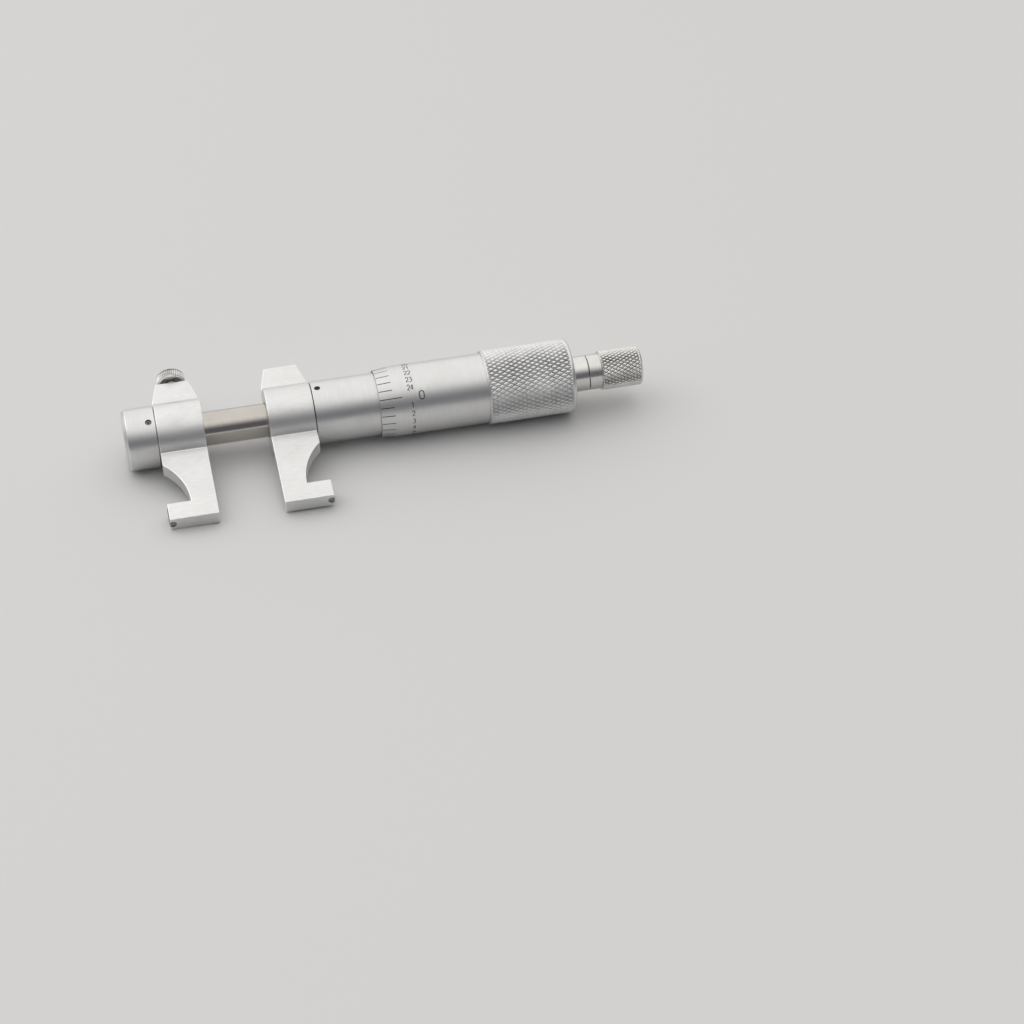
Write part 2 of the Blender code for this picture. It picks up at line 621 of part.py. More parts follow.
def knurl(obj, start, end, rows, sides, radius, depth):
    """Work a turned band's grid into a diamond knurl: every other point sinks by the depth."""
    pitch = (end - start) / rows
    bm = bmesh.new()
    bm.from_mesh(obj.data)
    low = set()
    for vert in bm.verts:
        if hypot(vert.co.y, vert.co.z) < radius - FIT / 3:
            continue
        row = round((vert.co.x - start) / pitch)
        side = round(atan2(vert.co.z, vert.co.y) * sides / (2 * pi))
        if 0 < row < rows and (row + side) % 2:
            low.add(vert)
    grid = [face for face in bm.faces if low.intersection(face.verts)]
    for vert in low:
        turn = atan2(vert.co.z, vert.co.y)
        vert.co.y -= depth * cos(turn)
        vert.co.z -= depth * sin(turn)
    for face in grid:
        sunk = [vert for vert in face.verts if vert in low]
        if len(sunk) == 2:
            bmesh.utils.face_split(face, sunk[0], sunk[1])
        else:
            opposite = face.verts[(list(face.verts).index(sunk[0]) + 2) % 4]
            bmesh.utils.face_split(face, sunk[0], opposite)
    bm.to_mesh(obj.data)
    bm.free()


def make_thimble():
    """The thimble: bevelled reading edge, plain barrel, knurled band and tapered seat in its end."""
    edge = THIMBLE_BORE + THIMBLE_EDGE_WALL
    band_start = THIMBLE_START + BAND_START
    knurl_start = band_start + BAND_STEP
    knurl_end = THIMBLE_END - BAND_END_CHAMFER
    pitch = (knurl_end - knurl_start) / BAND_KNURL_ROWS
    band = [(knurl_end - i * pitch, BAND_RADIUS) for i in range(BAND_KNURL_ROWS + 1)]
    profile = [(THIMBLE_END, BAND_RADIUS - BAND_END_CHAMFER), *band, (band_start, THIMBLE_RADIUS),
               (THIMBLE_START + THIMBLE_BEVEL_LENGTH, THIMBLE_RADIUS), (THIMBLE_START, edge),
               (THIMBLE_START, THIMBLE_BORE), (WALL_FACE, THIMBLE_BORE), (WALL_FACE, THREAD_RADIUS + FIT),
               (THIMBLE_END, TAPER_END_RADIUS + FIT)]
    thimble = applied(turned("thimble", profile, BAND_KNURL_SIDES))
    knurl(thimble, knurl_start, knurl_end, BAND_KNURL_ROWS, BAND_KNURL_SIDES, BAND_RADIUS, KNURL_DEPTH)
    finish(thimble, SCREW_GROUP, SATIN_CHROME)


def saw_teeth(name, notch, inner, outer):
    """A cutter of equal notches round a ring; a notch is drawn as (station, share of the pitch)."""
    turn = 2 * pi / TOOTH_COUNT
    bm = bmesh.new()
    loops = []
    for radius in (inner, outer):
        corners = [(x, radius * cos(share * turn), radius * sin(share * turn)) for x, share in notch]
        loops.append(bm.faces.new([bm.verts.new(corner) for corner in corners]))
    bmesh.ops.bridge_loops(bm, edges=[edge for face in loops for edge in face.edges])
    first = bm.verts[:] + bm.edges[:] + bm.faces[:]
    for i in range(1, TOOTH_COUNT):
        copy = bmesh.ops.duplicate(bm, geom=first)
        verts = [item for item in copy["geom"] if isinstance(item, bmesh.types.BMVert)]
        bmesh.ops.rotate(bm, verts=verts, cent=(0, 0, 0), matrix=Matrix.Rotation(i * turn, 3, 'X'))
    bmesh.ops.recalc_face_normals(bm, faces=bm.faces)
    return mesh_object(name, bm, CUTTERS)


def make_ratchet_base():
    """The base that holds the thimble on its taper, with a crown of saw teeth and the stem."""
    profile = [(HEAD_SEAT, SCREW_HOLE), (HEAD_SEAT, STEM_RADIUS), (CROWN_TIP, STEM_RADIUS),
               (CROWN_TIP, CROWN_RADIUS), (BASE_FACE, CROWN_RADIUS), (BASE_FACE, NECK_RADIUS),
               (BASE_START, NECK_RADIUS), (BASE_START, SPINDLE_STUB_RADIUS + FIT),
               (STUB_END + FIT, SPINDLE_STUB_RADIUS + FIT), (STUB_END + FIT, 0)]
    hole_end = HEAD_SEAT - RATCHET_SCREW_GRIP - FIT
    base = turned("ratchet_base", [(hole_end, 0), (hole_end, SCREW_HOLE), *profile], 48, False)
    above = CROWN_TIP + FIT
    ramp = 1 - TOOTH_LAND
    notch = [(above, 0), (CROWN_TIP - TOOTH_HEIGHT, 0), (CROWN_TIP, ramp), (above, ramp)]
    teeth = saw_teeth("ratchet_base_teeth", notch, STEM_RADIUS + SMALL_FIT, CROWN_RADIUS + FIT)
    boolean(base, teeth, 'DIFFERENCE')
    finish(base, SCREW_GROUP, TURNED_STEEL)


def make_ratchet_ring():
    """The toothed ring that slides on the stem and turns with the knob by its two flats."""
    ring = turned("ratchet_ring", tube_profile(RING_START, RING_END, CROWN_RADIUS, RING_BORE), 48)
    flat = KNOB_CAVITY_FLAT - FIT
    flats = box("ratchet_ring_flats", (RING_START - FIT, -KNOB_RADIUS, -flat),
                (RING_END + FIT, KNOB_RADIUS, flat))
    boolean(ring, flats, 'INTERSECT')
    below = RING_START - FIT
    root = RING_START + TOOTH_HEIGHT
    ramp_start = 2 * TOOTH_LAND
    ramp_end = 1 - TOOTH_LAND / 2
    wall = 1 + TOOTH_LAND / 2
    notch = [(below, ramp_start), (RING_START, ramp_start), (root, ramp_end), (root, wall), (below, wall)]
    teeth = saw_teeth("ratchet_ring_teeth", notch, STEM_RADIUS + SMALL_FIT, CROWN_RADIUS + FIT)
    boolean(ring, teeth, 'DIFFERENCE')
    finish(ring, RATCHET_GROUP, DARK_STEEL)


def make_ratchet_spring():
    """The coil spring that presses the ring's teeth into the base's."""
    points_per_turn = 12
    count = SPRING_TURNS * points_per_turn
    start = SPRING_START + SPRING_WIRE_RADIUS
    rise = (SPRING_END - SPRING_WIRE_RADIUS - start) / count
    curve = bpy.data.curves.new("ratchet_spring", 'CURVE')
    curve.dimensions = '3D'
    curve.bevel_depth = SPRING_WIRE_RADIUS
    curve.bevel_resolution = 2
    curve.use_fill_caps = True
    spline = curve.splines.new('POLY')
    spline.points.add(count)
    for i, point in enumerate(spline.points):
        turn = 2 * pi * i / points_per_turn
        point.co = (start + i * rise - STATIONS[RATCHET_GROUP.name], SPRING_MEAN_RADIUS * cos(turn),
                    SPRING_MEAN_RADIUS * sin(turn), 1)
    spring = bpy.data.objects.new("ratchet_spring", curve)
    spring.parent = RATCHET_GROUP
    curve.materials.append(DARK_STEEL)
    PARTS.objects.link(spring)


def make_ratchet_knob():
    """The knurled knob with its plain skirt: two flats inside drive the ring."""
    knurl_start = KNURL_START + KNOB_CHAMFER
    knurl_end = KNOB_END - KNOB_CHAMFER
    pitch = (knurl_end - knurl_start) / KNOB_KNURL_ROWS
    band = [(knurl_end - i * pitch, KNOB_RADIUS) for i in range(KNOB_KNURL_ROWS + 1)]
    head_room = RATCHET_SCREW_HEAD_RADIUS + FIT
    bearing = STEM_RADIUS + FIT
    recess_end = CROWN_TIP + FIT
    profile = [(KNOB_END, head_room), (KNOB_END, KNOB_RADIUS - KNOB_CHAMFER), *band,
               (KNURL_START, KNOB_RADIUS - KNOB_CHAMFER / 2), (KNURL_START, NECK_RADIUS),
               (KNOB_START, NECK_RADIUS), (KNOB_START, KNOB_CAVITY_RADIUS), (recess_end, KNOB_CAVITY_RADIUS),
               (recess_end, bearing), (HEAD_SEAT, bearing), (HEAD_SEAT, head_room)]
    knob = applied(turned("ratchet_knob", profile, KNOB_KNURL_SIDES))
    knurl(knob, knurl_start, knurl_end, KNOB_KNURL_ROWS, KNOB_KNURL_SIDES, KNOB_RADIUS, KNOB_KNURL_DEPTH)
    room = bar_profile(KNOB_START + FIT, CAVITY_END, KNOB_CAVITY_RADIUS)
    cavity = turned("ratchet_knob_cavity", room, KNOB_KNURL_SIDES, False, CUTTERS)
    flats = box("ratchet_knob_flats", (KNOB_START, -KNOB_RADIUS, -KNOB_CAVITY_FLAT),
                (CAVITY_END + FIT, KNOB_RADIUS, KNOB_CAVITY_FLAT))
    boolean(cavity, flats, 'INTERSECT')
    boolean(knob, cavity, 'DIFFERENCE')
    finish(knob, RATCHET_GROUP, SATIN_CHROME)


def make_ratchet_screw():
    """The slotted screw in the stem's end, whose head keeps the knob on."""
    head = HEAD_SEAT + FIT
    top = head + RATCHET_SCREW_HEAD_LENGTH
    profile = [(top, 0), (top, RATCHET_SCREW_HEAD_RADIUS), (head, RATCHET_SCREW_HEAD_RADIUS),
               (head, RATCHET_SCREW_RADIUS), (HEAD_SEAT - RATCHET_SCREW_GRIP, RATCHET_SCREW_RADIUS),
               (HEAD_SEAT - RATCHET_SCREW_GRIP, 0)]
    screw = turned("ratchet_screw", profile, 36, False)
    half_slot = SCREW_SLOT_WIDTH / 2
    slot = box("ratchet_screw_slot", (top - SCREW_SLOT_WIDTH, -KNOB_RADIUS, -half_slot),
               (top + FIT, KNOB_RADIUS, half_slot))
    boolean(screw, slot, 'DIFFERENCE')
    finish(screw, SCREW_GROUP, DARK_STEEL)


def make_clamp():
    """The clamp screw behind the moving jaw's ear and the plug that it presses on the spindle."""
    start = (CLAMP_STATION, PLUG_START, 0)
    plug_end = (CLAMP_STATION, PLUG_START + CLAMP_PLUG_LENGTH, 0)
    plug = rod_along("clamp_plug", start, plug_end, CLAMP_SHANK_RADIUS, 24, PARTS)
    finish(plug, CLAMP_GROUP, BRASS)
    end = CLAMP_HEAD_START + CLAMP_HEAD_LENGTH
    inner = CLAMP_HEAD_RADIUS - CLAMP_HEAD_CHAMFER
    profile = [(end, 0), (end, inner), (end - CLAMP_HEAD_CHAMFER, CLAMP_HEAD_RADIUS),
               (CLAMP_HEAD_START + CLAMP_HEAD_CHAMFER, CLAMP_HEAD_RADIUS), (CLAMP_HEAD_START, inner),
               (CLAMP_HEAD_START, CLAMP_SHANK_RADIUS), (CLAMP_SHANK_START, CLAMP_SHANK_RADIUS),
               (CLAMP_SHANK_START, 0)]
    screw = applied(turned("clamp_screw", profile, 2 * CLAMP_KNURL_TEETH, False))
    for vert in screw.data.vertices:
        turn = atan2(vert.co.z, vert.co.y)
        tooth = round(turn * CLAMP_KNURL_TEETH / pi)
        if hypot(vert.co.y, vert.co.z) > CLAMP_HEAD_RADIUS - FIT / 3 and tooth % 2:
            vert.co.y -= CLAMP_KNURL_DEPTH * cos(turn)
            vert.co.z -= CLAMP_KNURL_DEPTH * sin(turn)
    screw.data.transform(Matrix.Translation((CLAMP_STATION, 0, 0)) @ Matrix.Rotation(pi / 2, 4, 'Z'))
    finish(screw, CLAMP_GROUP, TURNED_STEEL)


def lie_on_bench():
    """Roll and tilt the instrument as it rests, and bring the bottom centre of its box to the origin."""
    BENCH.rotation_euler = (BENCH_ROLL, -BENCH_TILT, 0)
    bpy.context.view_layer.update()
    depsgraph = bpy.context.evaluated_depsgraph_get()
    corners = []
    for obj in PARTS.objects:
        if obj.type != 'EMPTY':
            mesh = obj.evaluated_get(depsgraph).to_mesh()
            corners += [obj.matrix_world @ vert.co for vert in mesh.vertices]
    low = [min(corner[i] for corner in corners) for i in range(3)]
    high = [max(corner[i] for corner in corners) for i in range(3)]
    BENCH.location -= Vector(((low[0] + high[0]) / 2, (low[1] + high[1]) / 2, low[2]))
    bpy.context.view_layer.update()


make_fixed_jaw()
make_inner_tube()
make_guide_key()
make_graduated_sleeve()
make_adjusting_nut()
make_moving_jaw()
make_guide_rod()
make_end_cap()
make_cap_set_screw()
make_thrust_bearing()
make_spindle()
make_spindle_nut()
make_thimble()
make_ratchet_base()
make_ratchet_ring()
make_ratchet_spring()
make_ratchet_knob()
make_ratchet_screw()
make_clamp()
seat_tools()
lie_on_bench()
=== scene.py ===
import json
from math import asin, atan2, cos, hypot, inf, pi, radians, sin, sqrt

import bmesh
import bpy
from mathutils import Matrix, Vector


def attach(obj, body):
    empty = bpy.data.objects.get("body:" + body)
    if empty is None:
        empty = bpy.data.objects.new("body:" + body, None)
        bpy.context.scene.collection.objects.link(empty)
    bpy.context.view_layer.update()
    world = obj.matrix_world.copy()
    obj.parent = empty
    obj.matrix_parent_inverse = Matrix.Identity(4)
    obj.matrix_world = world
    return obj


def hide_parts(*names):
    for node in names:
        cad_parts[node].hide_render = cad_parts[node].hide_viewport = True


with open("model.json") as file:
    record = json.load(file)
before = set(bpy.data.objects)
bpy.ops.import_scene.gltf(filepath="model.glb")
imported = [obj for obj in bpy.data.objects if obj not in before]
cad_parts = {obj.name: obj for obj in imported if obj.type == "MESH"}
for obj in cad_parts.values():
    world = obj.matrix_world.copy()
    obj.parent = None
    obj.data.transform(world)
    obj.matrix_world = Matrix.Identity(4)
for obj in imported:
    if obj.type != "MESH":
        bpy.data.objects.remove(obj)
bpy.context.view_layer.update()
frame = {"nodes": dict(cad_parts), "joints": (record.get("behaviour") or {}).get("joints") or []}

# The instrument's own axes, taken from its joints. X runs along the spindle from the cap to the
# ratchet, with 0 at the thimble's reading edge, the jaws' feet point to -Y, and Z is square to
# their plates. Every piece is drawn on these axes and then set down as the instrument lies.

joints = {joint["name"]: joint for joint in frame["joints"]}
spindle_axis = Vector(joints["jaw_slide"]["axis"])
clamp_axis = Vector(joints["clamp_slide"]["axis"])
reading_edge = Vector(joints["thimble_turn"]["pos_m"])
lie = Matrix((spindle_axis, clamp_axis, spindle_axis.cross(clamp_axis))).transposed()
instrument = Matrix.Translation(reading_edge) @ lie.to_4x4()

# The camera stands to the left of the instrument's middle and looks down on the table. Its place,
# its turn and the length of its lens were worked out from the straight edges in the picture.

CAMERA_PLACE = (-0.07317, -0.48521, 0.35146)
CAMERA_DOWN = radians(37.28)
CAMERA_RIGHT = radians(11.95)
CAMERA_ROLL = radians(-0.74)
CAMERA_LENS = 88.49

camera_data = bpy.data.cameras.new("photo_camera")
camera_data.sensor_width = 36.0
camera_data.lens = CAMERA_LENS
camera_data.clip_start = 0.01
camera = bpy.data.objects.new("photo_camera", camera_data)
bpy.context.scene.collection.objects.link(camera)
aim = Matrix.Rotation(-CAMERA_RIGHT, 4, 'Z') @ Matrix.Rotation(pi / 2 - CAMERA_DOWN, 4, 'X')
camera.matrix_world = Matrix.Translation(CAMERA_PLACE) @ aim @ Matrix.Rotation(CAMERA_ROLL, 4, 'Z')
bpy.context.scene.camera = camera
bpy.context.scene.view_settings.view_transform = 'Standard'

# A plain pale table under a soft white studio sky, bright overhead and behind the instrument and
# grey low in front, so that round metal shades from bright on top to grey at the side. One wide
# lamp hangs high on the left and throws a soft shadow to the right.

TABLE_HALF = 3.0
TABLE_COLOUR = (0.68, 0.68, 0.675)
TABLE_ROUGHNESS = 0.9
TABLE_SHINE = 0.1
SKY_WHITE = (1.0, 0.99, 0.975)
SKY_GREY = (0.13, 0.13, 0.145)
SKY_STRENGTH = 1.14
SKY_SIDE = Vector((-0.10, 0.42, 0.88)).normalized()
SKY_FADE = (-0.20, 0.75)
LAMP_PLACE = Vector((-0.56, 0.27, 0.65))
LAMP_SIZE = 0.8
LAMP_POWER = 0.9

table = bmesh.new()
bmesh.ops.create_grid(table, x_segments=1, y_segments=1, size=TABLE_HALF)
table_mesh = bpy.data.meshes.new("table")
table.to_mesh(table_mesh)
table.free()
table_top = bpy.data.objects.new("table", table_mesh)
bpy.context.scene.collection.objects.link(table_top)
table_paint = bpy.data.materials.new("pale_table")
table_paint.use_nodes = True
table_shader = table_paint.node_tree.nodes["Principled BSDF"]
table_shader.inputs["Base Color"].default_value = (*TABLE_COLOUR, 1.0)
table_shader.inputs["Roughness"].default_value = TABLE_ROUGHNESS
table_shader.inputs["Specular IOR Level"].default_value = TABLE_SHINE
table_mesh.materials.append(table_paint)

sky = bpy.data.worlds.new("studio_sky")
bpy.context.scene.world = sky
sky.use_nodes = True
sky_nodes = sky.node_tree.nodes
sky_links = sky.node_tree.links
direction = sky_nodes.new("ShaderNodeTexCoord")
towards = sky_nodes.new("ShaderNodeVectorMath")
towards.operation = 'DOT_PRODUCT'
towards.inputs[1].default_value = SKY_SIDE
sky_links.new(direction.outputs["Generated"], towards.inputs[0])
fade = sky_nodes.new("ShaderNodeValToRGB")
fade.color_ramp.interpolation = 'EASE'
fade.color_ramp.elements[0].position = SKY_FADE[0]
fade.color_ramp.elements[0].color = (*SKY_GREY, 1.0)
fade.color_ramp.elements[1].position = SKY_FADE[1]
fade.color_ramp.elements[1].color = (*SKY_WHITE, 1.0)
sky_links.new(towards.outputs["Value"], fade.inputs["Fac"])
sky_links.new(fade.outputs["Color"], sky_nodes["Background"].inputs["Color"])
sky_nodes["Background"].inputs["Strength"].default_value = SKY_STRENGTH

lamp_data = bpy.data.lights.new("wide_lamp", 'AREA')
lamp_data.shape = 'SQUARE'
lamp_data.size = LAMP_SIZE
lamp_data.energy = LAMP_POWER
lamp = bpy.data.objects.new("wide_lamp", lamp_data)
bpy.context.scene.collection.objects.link(lamp)
lamp.location = LAMP_PLACE
lamp.rotation_euler = (-LAMP_PLACE).to_track_quat('-Z', 'Y').to_euler()

# The guide rod between the jaws: hard steel, centreless ground to a grey mirror with hair-fine
# rings, bored through for the spindle, with a long flat on the side of the feet. The key inside
# the sleeve bears on that flat and keeps the rod and its jaw from turning.

ROD_FLAT_DEPTH = 0.00036
ROD_FLAT_INSET = 0.0027
ROD_BORE = 0.0025
ROD_EASE = 0.00018
ROD_SHARP = radians(15)
ROD_STEPS = 160
CLAMP_HOLE = 0.0013
CLAMP_HOLE_STEPS = 32
CUT = 0.001
TOUCHING = 1e-7
SHARPEST_SMOOTH = radians(7)
CLOUD_LENGTHS = (0.006, 0.004, 0.004)
CLOUD_SHARE = 0.4
# Painted shade for grooves, and a painted highlight for edges and knurl tips.
GROOVE_SHADE_PULL = -0.35
EDGE_HIGHLIGHT_PULL = 0.30
TONE_STOPS = (0.05, 0.3, 0.7, 0.9)
GROOVE_SHADE = 0.2
EDGE_HIGHLIGHT_TONE = 1.2


def extent(node):
    """Lowest and highest corner of a CAD node along the instrument's axes."""
    to_instrument = instrument.inverted()
    points = [to_instrument @ vert.co for vert in frame["nodes"][node].data.vertices]
    low = Vector([min(point[i] for point in points) for i in range(3)])
    high = Vector([max(point[i] for point in points) for i in range(3)])
    return low, high


def tooled_metal(name, colour, roughness, marks, contrast, relief):
    """A metal with fine tool marks, drawn out to the given lengths along the instrument's axes.

    A piece may carry two attributes. One paints shade in its grooves, darker and duller; the
    other makes its edges smoother, as polish, and paints a highlight on them, brighter.
    """
    material = bpy.data.materials.new(name)
    material.use_nodes = True
    nodes = material.node_tree.nodes
    links = material.node_tree.links
    shader = nodes["Principled BSDF"]
    shader.inputs["Metallic"].default_value = 1.0
    place = nodes.new("ShaderNodeTexCoord")
    noises = []
    for lengths, detail in ((marks, 4.0), (CLOUD_LENGTHS, 2.0)):
        along = nodes.new("ShaderNodeMapping")
        along.vector_type = 'TEXTURE'
        along.inputs["Location"].default_value = reading_edge
        along.inputs["Rotation"].default_value = lie.to_euler()
        along.inputs["Scale"].default_value = lengths
        noise = nodes.new("ShaderNodeTexNoise")
        noise.inputs["Scale"].default_value = 1.0
        noise.inputs["Detail"].default_value = detail
        links.new(place.outputs["Object"], along.inputs["Vector"])
        links.new(along.outputs["Vector"], noise.inputs["Vector"])
        noises.append(noise.outputs["Fac"])
    strokes, clouds = noises
    blend = nodes.new("ShaderNodeMix")
    blend.data_type = 'FLOAT'
    blend.inputs["Factor"].default_value = CLOUD_SHARE
    links.new(strokes, blend.inputs["A"])
    links.new(clouds, blend.inputs["B"])
    finish = blend.outputs["Result"]
    # Shade is painted into grooves here, and a highlight onto edges and knurl tips, with roughness
    # raised and lowered with them.
    for attribute, pull in (("groove", GROOVE_SHADE_PULL), ("edge_polish_and_highlight", EDGE_HIGHLIGHT_PULL)):
        carried = nodes.new("ShaderNodeAttribute")
        carried.attribute_name = attribute
        added = nodes.new("ShaderNodeMath")
        added.operation = 'MULTIPLY_ADD'
        added.inputs[1].default_value = pull
        links.new(carried.outputs["Fac"], added.inputs[0])
        links.new(finish, added.inputs[2])
        finish = added.outputs["Value"]
    shade = nodes.new("ShaderNodeValToRGB")
    tones = shade.color_ramp.elements
    tones[0].position = TONE_STOPS[0]
    tones[1].position = TONE_STOPS[1]
    tones.new(TONE_STOPS[2])
    tones.new(TONE_STOPS[3])
    # The lowest tone is the painted shade of grooves, the highest the painted highlight of edges.
    for tone, share in zip(tones, (GROOVE_SHADE, 1 - contrast, 1.0, EDGE_HIGHLIGHT_TONE)):
        tone.color = (*[value * share for value in colour], 1.0)
    links.new(finish, shade.inputs["Fac"])
    links.new(shade.outputs["Color"], shader.inputs["Base Color"])
    gloss = nodes.new("ShaderNodeMapRange")
    gloss.inputs["From Min"].default_value = TONE_STOPS[1]
    gloss.inputs["From Max"].default_value = TONE_STOPS[2]
    gloss.inputs["To Min"].default_value = roughness * (1 + contrast)
    gloss.inputs["To Max"].default_value = roughness * (1 - contrast)
    links.new(finish, gloss.inputs["Value"])
    links.new(gloss.outputs["Result"], shader.inputs["Roughness"])
    bump = nodes.new("ShaderNodeBump")
    bump.inputs["Distance"].default_value = relief
    links.new(strokes, bump.inputs["Height"])
    links.new(bump.outputs["Normal"], shader.inputs["Normal"])
    return material


def lathe(outline, steps):
    """Turn an outline of (station, radius) corners about X.

    An outline that stays off the axis is closed first.
    """
    bm = bmesh.new()
    corners = [bm.verts.new((x, 0, radius)) for x, radius in outline]
    edges = [bm.edges.new(pair) for pair in zip(corners, corners[1:])]
    if outline[0][1] > 0:
        edges.append(bm.edges.new((corners[-1], corners[0])))
    bmesh.ops.spin(bm, geom=corners + edges, axis=(1, 0, 0), cent=(0, 0, 0), angle=2 * pi,
                   steps=steps, use_merge=True)
    bmesh.ops.remove_doubles(bm, verts=bm.verts, dist=TOUCHING)
    bmesh.ops.recalc_face_normals(bm, faces=bm.faces)
    return bm


def eased(bm, width, sharper=radians(25)):
    """Break every edge that turns by more than the given angle, with a small worn round."""
    # The rounds are marked to render smoother, as polish, and lighter, as a painted highlight.
    edge_polish_and_highlight = bm.faces.layers.float.new("edge_polish_and_highlight")
    edges = [edge for edge in bm.edges if edge.is_manifold and edge.calc_face_angle() > sharper]
    rounded = bmesh.ops.bevel(bm, geom=edges, offset=width, offset_type='OFFSET', segments=2,
                              profile=0.5, affect='EDGES', material=-1, clamp_overlap=True)
    for face in rounded["faces"]:
        face[edge_polish_and_highlight] = 1.0
    return bm


def block(low, high):
    """A square block between two corners."""
    bm = bmesh.new()
    bmesh.ops.create_cube(bm, size=1.0)
    bmesh.ops.scale(bm, vec=Vector(high) - Vector(low), verts=bm.verts)
    bmesh.ops.translate(bm, vec=(Vector(low) + Vector(high)) / 2, verts=bm.verts)
    return bm


def pin(start, end, radius, steps):
    """A straight round pin between two points."""
    start, end = Vector(start), Vector(end)
    bm = bmesh.new()
    bmesh.ops.create_cone(bm, cap_ends=True, segments=steps, radius1=radius, radius2=radius,
                          depth=(end - start).length)
    turn = (end - start).to_track_quat('Z', 'Y').to_matrix().to_4x4()
    bmesh.ops.transform(bm, matrix=Matrix.Translation((start + end) / 2) @ turn, verts=bm.verts)
    return bm


def machined(bm, tool, operation='DIFFERENCE'):
    """Cut one closed shape with another, or join or intersect them."""
    shapes = []
    for shape in (bm, tool):
        mesh = bpy.data.meshes.new("shape")
        shape.to_mesh(mesh)
        shape.free()
        shapes.append(bpy.data.objects.new("shape", mesh))
        bpy.context.scene.collection.objects.link(shapes[-1])
    modifier = shapes[0].modifiers.new("machining", 'BOOLEAN')
    modifier.operation = operation
    modifier.solver = 'EXACT'
    modifier.object = shapes[1]
    result = bmesh.new()
    result.from_object(shapes[0], bpy.context.evaluated_depsgraph_get())
    for shape in shapes:
        bpy.data.meshes.remove(shape.data)
    return result


def fitted(bm, name, metal, body, slot, *nodes):
    """Set a finished piece down on the instrument, on its body and in place of its CAD nodes."""
    bmesh.ops.transform(bm, matrix=instrument, verts=bm.verts)
    mesh = bpy.data.meshes.new(name)
    bm.to_mesh(mesh)
    bm.free()
    mesh.materials.append(metal)
    mesh.shade_smooth()
    mesh.set_sharp_from_angle(angle=SHARPEST_SMOOTH)
    piece = bpy.data.objects.new(name, mesh)
    bpy.context.scene.collection.objects.link(piece)
    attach(piece, body)
    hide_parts(*nodes)
    return piece


rod_low, rod_high = extent("guide_rod")
moving_low, moving_high = extent("moving_jaw")
clamp_low, clamp_high = extent("clamp_screw")
rod_radius = rod_high.y
clamp_station = (clamp_low.x + clamp_high.x) / 2

ground_steel = tooled_metal("ground_steel", colour=(0.55, 0.52, 0.48), roughness=0.17,
                            marks=(0.00012, 0.004, 0.004), contrast=0.12, relief=0.0000015)
rod = lathe([(rod_high.x, ROD_BORE), (rod_high.x, rod_radius), (rod_low.x, rod_radius),
             (rod_low.x, ROD_BORE)], ROD_STEPS)
flat_low = (moving_high.x - ROD_FLAT_INSET, -2 * rod_radius, -rod_radius)
rod = machined(rod, block(flat_low, (rod_high.x + CUT, ROD_FLAT_DEPTH - rod_radius, rod_radius)))
rod = eased(rod, ROD_EASE, ROD_SHARP)
clamp_hole = pin((clamp_station, 0, 0), (clamp_station, rod_radius + CUT, 0), CLAMP_HOLE,
                 CLAMP_HOLE_STEPS)
rod = machined(rod, clamp_hole)
fitted(rod, "guide_rod_ground", ground_steel, "carriage", "ground_steel", "guide_rod")

# The two jaws, mirror images of each other. Each is one steel forging, milled and ground all over
# and plated in satin chrome: a round hub, a flat plate with an ear behind, and an arm with a foot.

PLATE_HALF = 0.0018
HUB_RADIUS = 0.0075
HUB_FILLET = 0.0005
FOOT_HEIGHT = 0.00495
FOOT_PROUD = 0.0005
SCALLOP_START = 0.0111
SCALLOP_DEPTH = 0.0050
EAR_TAPER_START = 0.0090
EAR_TIP_WIDTH = 0.0078
JAW_EASE = 0.00016
JAW_SHARP = radians(50)
SEAT_WALL = 0.0030
BOSS_WALL = 0.00145
FIT = 0.0003
FILLET_STEPS = 14
HUB_STEPS = 84
SCALLOP_STEPS = 40
BORE_STEPS = 96
TIP_STEPS = 72


def arc(centre, radius, first, last, steps):
    """Points of an arc, both ends included."""
    turn = (last - first) / steps
    return [(centre[0] + radius * cos(first + i * turn), centre[1] + radius * sin(first + i * turn))
            for i in range(steps + 1)]


def sawn(corners, shift):
    """A flat outline pulled straight to a solid."""
    bm = bmesh.new()
    face = bm.faces.new([bm.verts.new(corner) for corner in corners])
    pulled = bmesh.ops.extrude_face_region(bm, geom=[face])
    verts = [item for item in pulled["geom"] if isinstance(item, bmesh.types.BMVert)]
    bmesh.ops.translate(bm, vec=shift, verts=verts)
    bmesh.ops.recalc_face_normals(bm, faces=bm.faces)
    return bm


